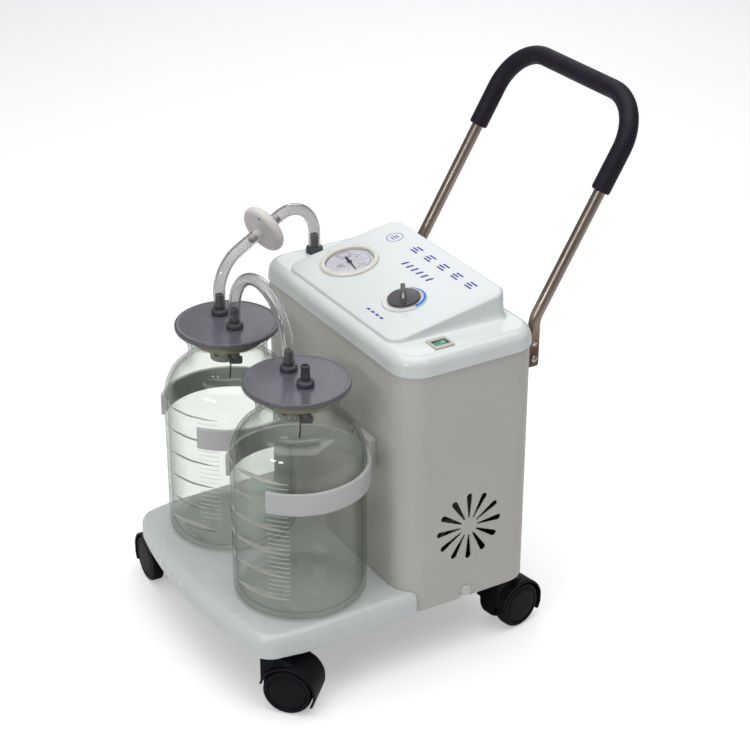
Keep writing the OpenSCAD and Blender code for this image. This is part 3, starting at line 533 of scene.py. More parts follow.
def stained_steel(name, color, stain, z_low, z_high):
    """Brushed tube that turns brown between two heights (mm), towards its foot."""
    n = Nodes(name)
    height = n.add("ShaderNodeSeparateXYZ")
    n.link(n.coords, height.inputs["Vector"])
    share = n.add("ShaderNodeMapRange")
    share.inputs["From Min"].default_value = z_low * MM
    share.inputs["From Max"].default_value = z_high * MM
    n.link(height.outputs["Z"], share.inputs["Value"])
    mix = n.add("ShaderNodeMix", data_type="RGBA")
    n.link(share.outputs["Result"], mix.inputs[0])
    n.link(n.ramp(n.noise(90, 4.0), tinted(stain, 0.6), stain), mix.inputs[6])
    n.link(n.ramp(n.noise(30, 4.0, (1, 1, 0.08)), tinted(color, 0.82), color), mix.inputs[7])
    shader = n.principled(Metallic=1.0)
    n.link(mix.outputs[2], shader.inputs["Base Color"])
    n.link(n.spread(n.noise(180, 3.0, (1, 1, 0.08)), 0.26, 0.4), shader.inputs["Roughness"])
    n.link(n.bump(n.noise(500, 2.0, (1, 1, 0.08)), 0.2, 0.008), shader.inputs["Normal"])
    return n.show(shader.outputs["BSDF"])


COVER = moulded("cover_gloss", (0.80, 0.84, 0.84), 0.22, 260, 0.02, 9, 0.97, coat=0.35)
HOUSING = moulded("housing_powder_coat", (0.62, 0.60, 0.56), 0.42, 1400, 0.035, 7, 0.95, coat=0.1)
TRAY = moulded("tray_gloss", (0.74, 0.78, 0.78), 0.25, 300, 0.02, 9, 0.97, coat=0.3)
# The clips are white plastic. This grey is darker than their own colour: painted shade standing in for the
# dim light on their fronts.
CLIP_PAINTED_SHADE = moulded("clip_white_painted_shade", (0.62, 0.61, 0.61), 0.35, 700, 0.02, 20, 0.95)
WHITE_SCREW = moulded("white_knob", (0.72, 0.71, 0.70), 0.35, 700, 0.02, 30, 0.92)
DARK = moulded("dark_nylon", (0.028, 0.027, 0.034), 0.42, 900, 0.04, 40, 0.8)
SPIGOT = moulded("spigot_grey", (0.075, 0.072, 0.09), 0.4, 800, 0.05, 60, 0.75)
LID = moulded("lid_slate", (0.118, 0.114, 0.138), 0.3, 400, 0.004, 25, 0.9, coat=0.25)
RUBBER = moulded("stopper_rubber", (0.33, 0.30, 0.17), 0.6, 600, 0.05, 30, 0.85)
TUBE_END = moulded("drop_tube_rubber", (0.045, 0.03, 0.028), 0.5, 600, 0.05, 60, 0.7)
CASTER = moulded("caster_nylon", (0.006, 0.006, 0.010), 0.46, 700, 0.05, 35, 0.7, rough_spread=0.14,
                 shine=0.16)
TYRE = moulded("wheel_tyre", (0.005, 0.005, 0.009), 0.5, 500, 0.05, 35, 0.7, rough_spread=0.14, shine=0.16)
CREAM = moulded("cream_bezel", (0.80, 0.77, 0.70), 0.28, 500, 0.02, 30, 0.95, coat=0.2)
DIAL = moulded("dial_face", (0.80, 0.78, 0.87), 0.5, 900, 0.01, 60, 0.97)
INK = moulded("dial_ink", (0.11, 0.10, 0.13), 0.5, 900, 0.01, 200, 0.8)
BLUE_INK = moulded("blue_ink", (0.012, 0.055, 0.40), 0.4, 900, 0.01, 200, 0.75)
BLUE_SCALE = moulded("blue_scale", (0.006, 0.20, 0.83), 0.4, 900, 0.01, 100, 0.85)
NEEDLE = moulded("needle_black", (0.02, 0.02, 0.025), 0.4, 900, 0.01, 100, 0.7)
RING = moulded("regulator_ring", (0.80, 0.78, 0.76), 0.3, 500, 0.02, 30, 0.96)
KNOB_GREY = moulded("knob_grey", (0.105, 0.095, 0.105), 0.38, 700, 0.03, 60, 0.8)
SWITCH_BEIGE = moulded("switch_beige", (0.62, 0.59, 0.52), 0.35, 700, 0.02, 40, 0.9)
SWITCH_RECESS = moulded("switch_recess", (0.13, 0.13, 0.125), 0.5, 700, 0.02, 40, 0.85)
SWITCH_GREEN = clear("switch_green", (0.30, 0.72, 0.58), 0.12, 1.45, (0.4, 0.8, 0.65), 0.1, 60,
                     0.62, (0.16, 0.46, 0.37))
HANDLE_STEEL = stained_steel("handle_steel", (0.45, 0.365, 0.315), (0.22, 0.125, 0.09), 305, 345)
BRACKET_STEEL = moulded("bracket_brown", (0.15, 0.075, 0.05), 0.35, 700, 0.04, 50, 0.7, coat=0.2)
SCREW_STEEL = steel("screw_steel", (0.62, 0.63, 0.62), 0.22)
PLATE_STEEL = steel("chassis_zinc", (0.5, 0.51, 0.52), 0.35)
MOTOR = moulded("motor_paint", (0.09, 0.095, 0.11), 0.45, 700, 0.05, 30, 0.8)
ALUMINIUM = steel("cast_aluminium", (0.55, 0.56, 0.58), 0.42, grain=900)
BRASS = steel("valve_brass", (0.62, 0.48, 0.22), 0.3)
FAN = moulded("fan_plastic", (0.45, 0.46, 0.48), 0.45, 700, 0.04, 30, 0.9)
INNER_HOSE = moulded("inner_hose_rubber", (0.33, 0.09, 0.05), 0.5, 600, 0.05, 40, 0.85)
FLOAT = moulded("float_plastic", (0.62, 0.24, 0.08), 0.35, 600, 0.03, 40, 0.9, subsurface=0.2)
FOAM = foam("foam_grip", (0.010, 0.006, 0.016))
GLASS = thin_glass("jar_glass", (0.955, 0.965, 0.95), (0.68, 0.72, 0.68))
LENS = thin_glass("gauge_glass", (0.99, 0.99, 0.99), (0.97, 0.97, 0.97), 0.0)
PVC = clear("clear_hose", (0.955, 0.945, 0.95), 0.03, 1.42, (0.9, 0.89, 0.9), 0.15, 45, 0.10,
            (0.62, 0.60, 0.60))
CAGE = clear("float_cage", (0.86, 0.9, 0.87), 0.25, 1.45, (0.7, 0.74, 0.7), 0.1, 60, 0.45,
             (0.55, 0.58, 0.54))
FILTER = moulded("filter_milky", (0.80, 0.755, 0.74), 0.42, 700, 0.02, 25, 0.95, subsurface=0.5)
GRADUATION = moulded("graduation_ink", (0.88, 0.87, 0.80), 0.5, 900, 0.01, 60, 0.9)


# ---- cover, housing and tray ----
def round_rect(half_w, y0, y1, r, steps=12):
    points = []
    for cx, cy, a in ((half_w - r, y1 - r, 0), (r - half_w, y1 - r, 90),
                      (r - half_w, y0 + r, 180), (half_w - r, y0 + r, 270)):
        points += arc2(cx, cy, r, a, a + 90, steps)
    return points


def cover_ring(inset, z):
    """Ring of the cover's edge; the rounding is a little tighter along the front and back."""
    half_w = COVER_HIGH.x - inset
    inset_y = 0.85 * inset
    outline = round_rect(half_w, COVER_LOW.y + inset_y, COVER_HIGH.y - inset_y, CORNER_R + 1.5 - inset)
    return [(x, y, z) for x, y in outline]


def console_ring(level, out_share, out=0.0, drop=0.0):
    """Ring round the console: level is its share of the local height above the strip, out_share its
    distance outwards as a share of that height."""
    r = CONSOLE_R
    ring = []
    y1 = CONSOLE_Y + CONSOLE_DEPTH
    for (x, y), (cx, cy) in zip(round_rect(CONSOLE_HALF, CONSOLE_Y, y1, r),
                                round_rect(CONSOLE_HALF - 1, CONSOLE_Y + 1, y1 - 1, r - 1)):
        height = console_z(y) - STRIP_Z
        normal = Vector((x - cx, y - cy))
        sideways = 1 - 0.92 * abs(normal.y)
        away = out_share * height * sideways + out * min(1.0, height / 10)
        px, py = x + normal.x * away, y + normal.y * away
        top = console_z(py)
        ring.append((px, py, STRIP_Z + level * (top - STRIP_Z) - drop * min(1.0, height / 10)))
    return ring


def plate_outline(inset):
    back = CONSOLE_Y + CONSOLE_DEPTH
    return round_rect(CONSOLE_HALF - inset, CONSOLE_Y + inset, back - inset, CONSOLE_R - inset)


def plate_ring(inset, sink=0.0):
    """Ring on the console's flat plate."""
    return [(x, y, console_z(y) - sink) for x, y in plate_outline(inset)]


def low_ring(inset, z):
    """Level ring below the plate."""
    return [(x, y, z) for x, y in plate_outline(inset)]


def cover_rings():
    """Rings of the outer skin, from its lower lip up, and of the underside."""
    edge, wall = 12, 3
    draft = 0.8
    rings = [cover_ring(0.6, COVER_LOW.z), cover_ring(0, COVER_LOW.z + 0.6), cover_ring(0.1, COVER_LOW.z + 3),
             cover_ring(draft, STRIP_Z - edge)]
    for i in range(1, 9):
        a = math.radians(90 * i / 8)
        rings.append(cover_ring(draft + edge * (1 - math.cos(a)), STRIP_Z - edge + edge * math.sin(a)))
    cove = 0.46
    for i in range(0, 8):
        a = math.radians(90 * i / 7)
        rings.append(console_ring(0.5 * (1 - math.cos(a)), 0.08 + (cove - 0.08) * (1 - math.sin(a))))
    fillet = 4.5
    for i in range(0, 7):
        a = math.radians(90 * i / 6)
        rings.append(console_ring(1, 0.02, -fillet * (1 - math.cos(a)), fillet * (1 - math.sin(a))))
    rings.append(plate_ring(6.5))
    inside = [cover_ring(0.6, COVER_LOW.z), cover_ring(wall, COVER_LOW.z + 0.2),
              cover_ring(wall + 0.6, STRIP_Z - edge), cover_ring(wall + 4, STRIP_Z - 5.5),
              cover_ring(edge + 1.5, STRIP_Z - wall), low_ring(3.5, STRIP_Z - wall), plate_ring(4, 6.5),
              plate_ring(7.5, wall)]
    return rings, inside


def rounded_prism(w, d, h):
    """Prism with crisp ends and slightly rounded upright edges, mostly used as a cutter."""
    return block(w, d, h, 0.01, 0.5)


def top_cover():
    rings, inside = cover_rings()
    shape = loft(inside[::-1][:-1] + rings)
    obj = piece("cover_moulding", shape, "chassis", COVER, ["top_cover"], sharp=30)
    port = middle("vacuum_port")
    switch = middle("switch_frame")
    tools = join(
        rod(27.6, -15, 15, GAUGE, 64),
        rod(7.3, -15, 15, KNOB, 32),
        moved(rounded_prism(17.4, 19.4, 20), shift(switch.x, switch.y, STRIP_Z - 12)),
        rod(5.2, -10, 10, shift(port.x, port.y, STRIP_Z)))
    carve(obj, tools, 30)
    weigh_normals(obj)


def vent_outline(inner, outer, r):
    root = 0.9
    centre = outer - r
    return [(inner, -root), (centre, -r)] + arc2(centre, 0, r, -80, 80, 8) + [(centre, r), (inner, root)]


def vent_tools(side):
    """Starburst of twelve drop-shaped slots in a side wall."""
    place = shift(side * HOUSING_HIGH.x, JAR_Y + 153.8, TRAY_HIGH.z + 58.9) @ turn(90, "Z") @ turn(90, "X")
    slot = slab(vent_outline(10, 38, 3.4), -5, 5)
    return [moved(slot, place @ turn(30 * i, "Z")) for i in range(12)]


def housing():
    wall, lip = 1.2, 0.5
    low, high = HOUSING_LOW, HOUSING_HIGH

    def ring(inset, z):
        outline = round_rect(high.x - inset, low.y + inset, high.y - inset, CORNER_R - inset, 16)
        return [(x, y, z) for x, y in outline]

    rings = [ring(lip, low.z), ring(0.15, low.z + 0.15), ring(0, low.z + lip), ring(0, high.z),
             ring(wall, high.z), ring(wall, low.z)]
    obj = piece("housing_panel", loft(rings, closed=True), "chassis", HOUSING,
                ["housing_shell"])
    tools, bores = [], []
    screw_low, screw_high = box("housing_screws")
    screw_y, screw_z = (screw_low.y + screw_high.y) / 2, (screw_low.z + screw_high.z) / 2
    for side in SIDES.values():
        tools += vent_tools(side)
        notch_h = screw_z - low.z + 1
        tools.append(moved(rounded_prism(10, 13, notch_h), shift(side * high.x, screw_y, low.z - 2)))
        bores.append(rod(2.6, -5, 5, shift(side * high.x, screw_y, screw_z) @ turn(90, "Y")))
    inlet = middle("power_inlet")
    tools.append(moved(rounded_prism(27.4, 10, 31.4), shift(inlet.x, high.y, inlet.z - 15.7)))
    for i in range(8):
        tools.append(moved(slab(rounded_box_outline(2, 23, 1.9), -5, 5),
                           shift(-35 + 10 * i, high.y, 200) @ turn(90, "X")))
    carve(obj, join(*bores))
    carve(obj, join(*tools), 40, 0.3)
    weigh_normals(obj)


def tray_outline(inset, back_y):
    """Tray seen from above: bowed front, rounded front corners, straight sides."""
    half = TRAY_HIGH.x
    r, front_r = 24 - inset, 623
    cx, cy = half - 28, JAR_Y - 59
    side = half - inset
    front = []
    for i in range(33):
        x = 100 - 200 * i / 32
        front.append((x, TRAY_LOW.y + inset + x * x / (2 * front_r)))
    outline = [(side, back_y), (side, JAR_Y - 37)] + arc2(cx, cy, r, 0, -80, 14) + front
    outline += arc2(-cx, cy, r, -100, -180, 14) + [(-side, JAR_Y - 37), (-side, back_y)]
    return outline[::-1]


def tray():
    edge, wall = 10, 3
    back_y = TRAY_HIGH.y

    def ring(inset, z, overrun=20):
        return [(x, y, z) for x, y in tray_outline(inset, back_y + overrun)]

    rings = [ring(0.7, TRAY_LOW.z), ring(0.1, TRAY_LOW.z + 0.7), ring(0, TRAY_LOW.z + 2)]
    for i in range(11):
        a = math.radians(9 * i)
        rings.append(ring(edge * (1 - math.cos(a)), TRAY_HIGH.z - edge + edge * math.sin(a)))
    rings.append(ring(edge + 1, TRAY_HIGH.z))
    under = [ring(wall, TRAY_LOW.z, 12), ring(wall, TRAY_HIGH.z - edge, 12),
             ring(wall + 3, TRAY_HIGH.z - wall - 3, 12), ring(edge + 1, TRAY_HIGH.z - wall, 12)]
    shape = loft(under[::-1] + rings)
    obj = piece("tray_moulding", shape, "chassis", TRAY, ["base_tray"])
    outline = round_rect(HOUSING_HIGH.x + 0.3, HOUSING_LOW.y - 0.3, HOUSING_HIGH.y, CORNER_R, 16)
    behind = moved(rounded_prism(400, 60, 60), shift(0, back_y + 30, TRAY_LOW.z - 10))
    carve(obj, behind)
    carve(obj, slab(outline, TRAY_LOW.z - 5, TRAY_HIGH.z + 5), 40, 0.4)
    weigh_normals(obj)


def jar_clip(side):
    """Strap round a jar, open at the front, with its foot on the housing."""
    node = "bottle_clip_" + side
    low, high = box(node)
    jar = JAR[side]
    ri, t, h = 67.5, 4, 23
    z = low.z + h / 2
    path = [(jar.x + x, jar.y + y, z) for x, y in arc2(0, 0, ri + t / 2, -55, 235, 96)]
    strap = sweep(path, rounded_box_outline(t / 2, h / 2, 0.7, 3))
    foot_back = HOUSING_LOW.y
    foot = moved(block(40, foot_back - jar.y - ri - 1.2, high.z - low.z, 1.0),
                 shift(jar.x, (foot_back + jar.y + ri + 1.2) / 2, low.z))
    piece("clip_strap_" + side, strap, "chassis", CLIP_PAINTED_SHADE, [node])
    obj = piece("clip_foot_" + side, foot, "chassis", CLIP_PAINTED_SHADE)
    screw_z = middle("clip_screws").z
    tools = [rod(2.2, -10, 30, shift(jar.x + dx, jar.y + 68, screw_z) @ turn(-90, "X")) for dx in (-12, 12)]
    bore = moved(lathe([(0, 0), (ri + 1, 0), (ri + 1, 60), (0, 60)], 128), shift(jar.x, jar.y, low.z - 10))
    carve(obj, bore)
    carve(obj, join(*tools))


# ---- jars ----
JAR_R = 67
NECK_OUT = 40.5


def jar_profile():
    """Closed (radius, height) profile of a jar's wall: up the outside, down the inside."""
    r, h, wall = JAR_R, JAR_HIGH.z - JAR_LOW.z, 3
    shoulder = h - 77.3
    neck = NECK_OUT
    heel = 9
    outside = [(0, 2.5), (r - 24, 1.6), (r - 20, 0.5), (r - 17, 0)] + arc2(r - heel, heel, heel, -84, 0, 10)
    outside += [(r, 30), (r, 70), (r, 110)]
    outside += arc2(r - 27, shoulder, 27, 0, 74, 20, 40)
    outside += [(neck + 4.2, shoulder + 39.2), (neck + 1.6, shoulder + 41.6), (neck + 0.4, shoulder + 44.6),
                (neck, shoulder + 48), (neck, h - 13), (neck + 0.6, h - 10.4), (neck + 2.4, h - 9)]
    outside += arc2(46 - 3.2, h - 4.8, 3.2, -70, 70, 10) + [(43, h - 0.4), (41.5, h)]
    inner = r - wall
    inside = [(neck - wall + 1.2, h), (neck - wall, h - 1.2), (neck - wall, shoulder + 46),
              (neck - wall + 0.5, shoulder + 43.4), (neck - 0.8, shoulder + 39.8),
              (neck + 2.6, shoulder + 36.8)]
    inside += arc2(r - 27, shoulder, 27 - wall, 68, 0, 18, 40 - wall)
    inside += [(inner, 110), (inner, 70), (inner, 30)]
    inside += arc2(inner - 10, wall + 11, 10, 0, -84, 10)
    inside += [(inner - 16, wall + 1.6), (inner - 26, wall + 3.4), (0, wall + 5)]
    return outside + inside


def jar(side):
    place = shift(JAR[side].x, JAR[side].y, JAR_LOW.z)
    piece("jar_" + side, moved(lathe(jar_profile(), 160), place), "jar_" + side, GLASS,
          ["bottle_" + side], sharp=60)
    graduations(side)


def wrapped(outline, side, z):
    """Flat outline (degrees round the jar, height) laid on the jar's side as a thin solid."""
    skin, thick = JAR_R + 0.03, 0.12

    def point(a, h, r):
        angle = math.radians(a)
        return (JAR[side].x + r * math.cos(angle), JAR[side].y + r * math.sin(angle), z + h)

    return loft([[point(a, h, skin) for a, h in outline], [point(a, h, skin + thick) for a, h in outline]])


def number_shape(text, size):
    """Flat shape of a number, centred on the origin."""
    curve = bpy.data.curves.new("number", "FONT")
    curve.body = text
    curve.size = size
    curve.align_x = "CENTER"
    curve.align_y = "CENTER"
    curve.extrude = 0.03
    curve.resolution_u = 3
    holder = bpy.data.objects.new("number", curve)
    bpy.context.scene.collection.objects.link(holder)
    graph = bpy.context.evaluated_depsgraph_get()
    graph.update()
    mesh = bpy.data.meshes.new_from_object(holder.evaluated_get(graph))
    welded = bmesh.new()
    welded.from_mesh(mesh)
    bmesh.ops.remove_doubles(welded, verts=welded.verts, dist=0.002)
    welded.to_mesh(mesh)
    welded.free()
    shape = [v.co.copy() for v in mesh.vertices], [list(p.vertices) for p in mesh.polygons]
    bpy.data.objects.remove(holder)
    bpy.data.curves.remove(curve)
    bpy.data.meshes.remove(mesh)
    return shape


def on_jar(shape, side, angle, z):
    """Flat shape wrapped on the jar's side at an angle, upright."""
    verts, faces = shape
    skin = JAR_R + 0.06
    result = []
    for v in verts:
        a = math.radians(angle) + v.x / skin
        r = skin + v.z
        result.append(Vector((JAR[side].x + r * math.cos(a), JAR[side].y + r * math.sin(a), z + v.y)))
    return result, faces


def graduations(side):
    """Printed scale: a long line at every fifth mark, with its number."""
    marks = []
    step, first, count = 5.2, 26, 26
    for i in range(count):
        z = JAR_LOW.z + first + step * i
        long = i % 5 == 0
        start = 266 if long else 304
        half_w = 0.34 if long else 0.26
        angles = [start + (323 - start) * k / 16 for k in range(17)]
        outline = [(a, -half_w) for a in angles] + [(a, half_w) for a in reversed(angles)]
        marks.append(wrapped(outline, side, z))
        if long and i > 0:
            marks.append(on_jar(number_shape(str(100 * i), 7.5), side, 256, z))
    piece("graduations_" + side, join(*marks), "jar_" + side, GRADUATION, flat=True)


# ---- lids ----
def lid_set(side):
    body = "lid_set_" + side
    jar_at = JAR[side]
    low, high = box("lid_" + side)
    r, t = 53, high.z - low.z
    profile = [(0, 0), (r - 1.2, 0), (r - 0.3, 0.35), (r, 1.1)]
    profile += arc2(r - 1.5, t - 1.5, 1.5, 0, 90, 6)
    profile += [(r - 3.2, t), (r - 3.8, t - 0.25), (r - 4.4, t - 0.3), (r - 8, t - 0.3), (0, t - 0.3)]
    disc = moved(lathe(profile, 160), shift(jar_at.x, jar_at.y, low.z))
    lid = piece("lid_disc_" + side, disc, body, LID, ["lid_" + side], sharp=50)
    bores = [rod(4.2, -15, 15, shift(jar_at.x + dx, jar_at.y + dy, high.z), 32) for dx, dy in SPIGOTS]
    carve(lid, join(*bores), 50)
    weigh_normals(lid)
    stopper_low, stopper_high = box("lid_gasket_" + side)
    plug, mouth = NECK_OUT - 3 - 0.3, 45
    z0, z1, flange = stopper_low.z, stopper_high.z, JAR_HIGH.z + 0.02
    profile = [(plug - 6, z0), (plug - 1, z0), (plug - 0.2, z0 + 0.8), (plug, z0 + 2), (plug, flange),
               (mouth - 0.4, flange), (mouth, flange + 0.3), (mouth, z1 - 0.3), (mouth - 0.4, z1),
               (plug - 6, z1)]
    ring = moved(lathe(profile, 128, closed=True), shift(jar_at.x, jar_at.y, 0))
    piece("stopper_" + side, ring, body, RUBBER, ["lid_gasket_" + side])
    spigots(side, body)
    paint(frame["nodes"]["float_cage_" + side], CAGE)


SPIGOTS = ((-22, 3.5), (14.5, 1.5))     # vacuum side and inlet side, from the jar's axis
SPIGOT_H = 21.4


def spigot_shape(below):
    """Collar, neck and tapered nozzle with its bore; below is how far it goes under the lid's top."""
    outer = [(4.1, -below), (4.1, 0.02), (8.1, 0.02), (8.7, 0.5), (8.7, 3.6), (8.3, 4.4), (7.4, 4.9),
             (5.4, 5.1), (4.9, 5.6), (4.75, 8), (4.6, 12), (4.3, 12.8), (4.3, SPIGOT_H - 2),
             (4.5, SPIGOT_H - 1.4), (4.45, SPIGOT_H - 0.3), (4.1, SPIGOT_H)]
    bore = [(3.1, SPIGOT_H), (2.8, SPIGOT_H - 0.5), (2.8, -below)]
    return lathe(outer + bore, 64, closed=True)


def spigots(side, body):
    jar_at = JAR[side]
    parts = [moved(spigot_shape(11), shift(jar_at.x + dx, jar_at.y + dy, LID_TOP)) for dx, dy in SPIGOTS]
    piece("spigots_" + side, join(*parts), body, SPIGOT, ["lid_spigots_" + side])
    dx, dy = SPIGOTS[1]
    place = shift(jar_at.x + dx, jar_at.y + dy, LID_TOP)
    drop = lathe([(4.0, -34), (4.1, -33.5), (4.1, -11), (2.8, -11), (2.8, -34)], 48, closed=True)
    piece("drop_tube_" + side, moved(drop, place), body, SPIGOT)
    across = place @ turn(58.9, "Z")
    bar = moved(block(13.5, 8.6, 6.5, 1.5, 2.4), across @ shift(0, 0, -40))
    piece("drop_tube_bar_" + side, bar, body, TUBE_END)
    wire = sweep([(-5.4, 0, -39.6), (-5.5, 0, -45), (-5.9, 0, -51), (-6.6, 0, -57.5)], circle(0.8, 12))
    piece("drop_tube_wire_" + side, moved(wire, across), body, TUBE_END)


def paint(obj, material):
    """Gives a CAD node its finished material."""
    if not obj.material_slots:
        obj.data.materials.append(material)
    for slot in obj.material_slots:
        slot.link = "OBJECT"
        slot.material = material


# ---- hoses and filter ----
HOSE_R, HOSE_BORE = 6.3, 4.7
HOSE_START = LID_TOP + 8.5


def straight(a, b, steps):
    a, b = Vector(a), Vector(b)
    return [a.lerp(b, i / steps) for i in range(steps + 1)]


def crossover():
    a = Vector((JAR["left"].x + SPIGOTS[1][0], JAR_Y + SPIGOTS[1][1], 0))
    b = Vector((JAR["right"].x + SPIGOTS[0][0], JAR_Y + SPIGOTS[0][1], 0))
    along = (b - a).normalized()
    r = (b - a).length / 2
    rise = LID_TOP + 16.1
    up = Vector((0, 0, 1))
    path = straight(a + up * HOSE_START, a + up * rise, 3)[:-1]
    path += [(a + b) / 2 + up * (rise + s) + along * c for c, s in arc2(0, 0, r, 180, 0, 48)]
    path += straight(b + up * rise, b + up * HOSE_START, 3)[1:]
    piece("crossover_tube", hose(path, HOSE_R, HOSE_BORE), "crossover", PVC,
          ["crossover_hose"])


def filter_line():
    start = Vector((JAR["left"].x + SPIGOTS[0][0], JAR_Y + SPIGOTS[0][1], 0))
    port = middle("vacuum_port")
    end = Vector((port.x, port.y, 0))
    along = (end - start).normalized()
    span = (end - start).length
    rise = math.radians(20.5)
    lean = Vector((math.cos(rise), math.sin(rise)))
    bend_in, bend_out, bend_z = 42.8, 36, LID_TOP + 21.5
    thick, hub_bare, hub_len, run_in = 12, 8, 14, 22.6
    first_end = Vector((bend_in * (1 - lean.y), bend_z + bend_in * lean.x))
    hub_in = first_end + run_in * lean
    centre = hub_in + (thick / 2 + hub_bare) * lean
    out_start = centre + (thick / 2 + hub_bare) * lean
    out_run = (span - bend_out * (1 + lean.y) - out_start.x) / lean.x
    out_end = out_start + out_run * lean
    out_centre = Vector((span - bend_out, out_end.y - bend_out * lean.x))

    def lift(points):
        return [start + along * p[0] + Vector((0, 0, p[1])) for p in points]

    path = [(0, HOSE_START), (0, (HOSE_START + bend_z) / 2)]
    path += arc2(bend_in, bend_z, bend_in, 180, 90 + math.degrees(rise), 28)
    path += [first_end.lerp(hub_in, i / 4) for i in range(1, 5)]
    piece("filter_tube_in", hose(lift(path), HOSE_R, HOSE_BORE), "filter_line", PVC,
          ["filter_inlet_hose"])
    path = [out_start.lerp(out_end, i / 3) for i in range(3)]
    path += arc2(out_centre.x, out_centre.y, bend_out, 90 + math.degrees(rise), 0, 32)
    path += [(span, (out_centre.y + STRIP_Z + 7) / 2), (span, STRIP_Z + 7)]
    piece("filter_tube_out", hose(lift(path), HOSE_R, HOSE_BORE), "filter_line", PVC,
          ["filter_outlet_hose"])
    r, half = 26, thick / 2
    face = [(2.6, -half - hub_len), (4.3, -half - hub_len), (4.6, -half - hub_len + 0.5), (4.6, -half - 2.6),
            (5.4, -half - 1.4), (8, -half - 0.5), (12, -half + 0.1), (r - 8, -half + 0.5)]
    profile = face + arc2(r - 4.6, 0, 4.6, -78, 78, 14, half - 0.6)
    profile += [(pr, -pz) for pr, pz in reversed(face)]
    where = lift([centre])[0]
    tilt = Matrix.Translation(where) @ turn(math.degrees(math.atan2(along.y, along.x)), "Z")
    tilt = tilt @ turn(90 - math.degrees(rise), "Y")
    piece("filter_disc", moved(lathe(profile, 128, closed=True), tilt), "filter_line", FILTER,
          ["bacterial_filter"], sharp=45)
    dot = lathe([(0, 0), (1.1, 0), (1.1, 0.5), (0, 0.5)], 20)
    dot_place = tilt @ shift(-19.5, -7, -half + 0.1)
    piece("filter_vent_dot", moved(dot, dot_place), "filter_line", NEEDLE)


def vacuum_port():
    port = middle("vacuum_port")
    outer = [(4, -19), (4, -0.02), (9, 0), (9, 4.8), (8.6, 6), (7.6, 6.6), (5, 6.7), (4.6, 7.4), (4.4, 10),
             (4.3, 19.5), (4.1, 21)]
    bore = [(3.1, 21), (2.8, 20.4), (2.8, -19)]
    shape = moved(lathe(outer + bore, 64, closed=True), shift(port.x, port.y, STRIP_Z))
    nut = moved(slab(rounded_box_outline(7, 7, 2), -7, -3.2, 0.4), shift(port.x, port.y, STRIP_Z))
    piece("vacuum_nozzle", shape, "chassis", SPIGOT, ["vacuum_port"])
    obj = piece("vacuum_nut", nut, "chassis", SPIGOT)
    carve(obj, rod(4.05, -9, 0, shift(port.x, port.y, STRIP_Z), 32), 40)


# ---- gauge ----
DIAL_TOP = -0.4         # dial face, measured from the console along its normal


def gauge():
    profile = [(27.4, 0.05), (30.4, 0.05), (31, 0.4)] + arc2(28, 1.3, 3, 0, 90, 10, 2.2)
    profile += [(27, 3.45), (26.1, 3.2), (25.5, 2.7), (25.25, 2.0), (25.2, -0.25), (25.7, -0.25), (25.7, 1.5),
                (27.4, 1.5)]
    piece("gauge_ring", moved(lathe(profile, 128, closed=True), GAUGE), "chassis", CREAM,
          ["gauge_bezel"], sharp=50)
    face = lathe([(1.2, -2), (25.6, -2), (25.6, DIAL_TOP), (1.2, DIAL_TOP)], 96, closed=True)
    piece("gauge_face", moved(face, GAUGE), "chassis", DIAL, ["gauge_dial"])
    lens = lathe([(0, 1.7), (25.1, 1.7), (25.2, 1.8), (25.2, 2.2), (25.0, 2.35), (14, 2.7), (0, 2.8)], 96)
    piece("gauge_window", moved(lens, GAUGE), "chassis", LENS, ["gauge_lens"])
    dial_print()
    needle = [(-11, 1.25), (-9.5, 1.5), (-3, 0.9)] + [(17, 0.28), (17.4, 0), (17, -0.28)]
    needle += [(-3, -0.9), (-9.5, -1.5), (-11, -1.25)]
    pointer = slab(needle[::-1], 0.3, 0.9, 0.12)
    hub = lathe([(0.7, 0.1), (2.4, 0.1), (2.5, 0.3), (2.4, 1.0), (1.9, 1.35), (0.7, 1.4)], 32, closed=True)
    shape = moved(join(pointer, hub), GAUGE @ turn(-10, "Z"))
    piece("needle_pointer", shape, "gauge_needle", NEEDLE, ["gauge_needle"])


def dial_mark(outline):
    return slab(outline, DIAL_TOP, DIAL_TOP + 0.05)


def dial_arc(r0, r1, start, end, steps=48):
    return dial_mark(arc2(0, 0, r1, start, end, steps) + arc2(0, 0, r0, end, start, steps))


def dial_tick(r0, r1, half):
    return dial_mark([(r0, -half), (r1, -half), (r1, half), (r0, half)])


def dial_print():
    """Two scales with ticks and numbers; zero is at -10 degrees and the sweep is 200 degrees."""
    marks = [dial_arc(21.6, 22.0, -10, 190), dial_arc(14.6, 14.9, -10, 190), dial_arc(24.5, 25.3, 0, 180, 64),
             dial_arc(24.5, 25.3, 180, 360, 64)]
    for i in range(51):
        angle = -10 + 4 * i
        length = 2.6 if i % 10 == 0 else (1.9 if i % 5 == 0 else 1.1)
        width = 0.4 if i % 10 == 0 else 0.2
        marks.append(moved(dial_tick(21.9 - length, 21.9, width / 2), turn(angle, "Z")))
        if i % 5 == 0:
            marks.append(moved(dial_tick(14.7, 16.3, 0.2), turn(angle, "Z")))
    for i in range(6):
        angle = math.radians(-10 + 40 * i)
        for r, value, size in ((17.4, 2 * i, 4.2), (11.6, 15 * i, 3.2)):
            place = shift(r * math.cos(angle), r * math.sin(angle), DIAL_TOP + 0.03)
            marks.append(moved(number_shape(str(value), size), place))
    for i in range(3):
        bar = dial_mark(rounded_box_outline(4.5 - i, 0.45, 0.3, 2))
        marks.append(moved(bar, shift(0, -9 - 2.6 * i, 0)))
    piece("dial_scale", moved(join(*marks), GAUGE), "chassis", INK, flat=True)


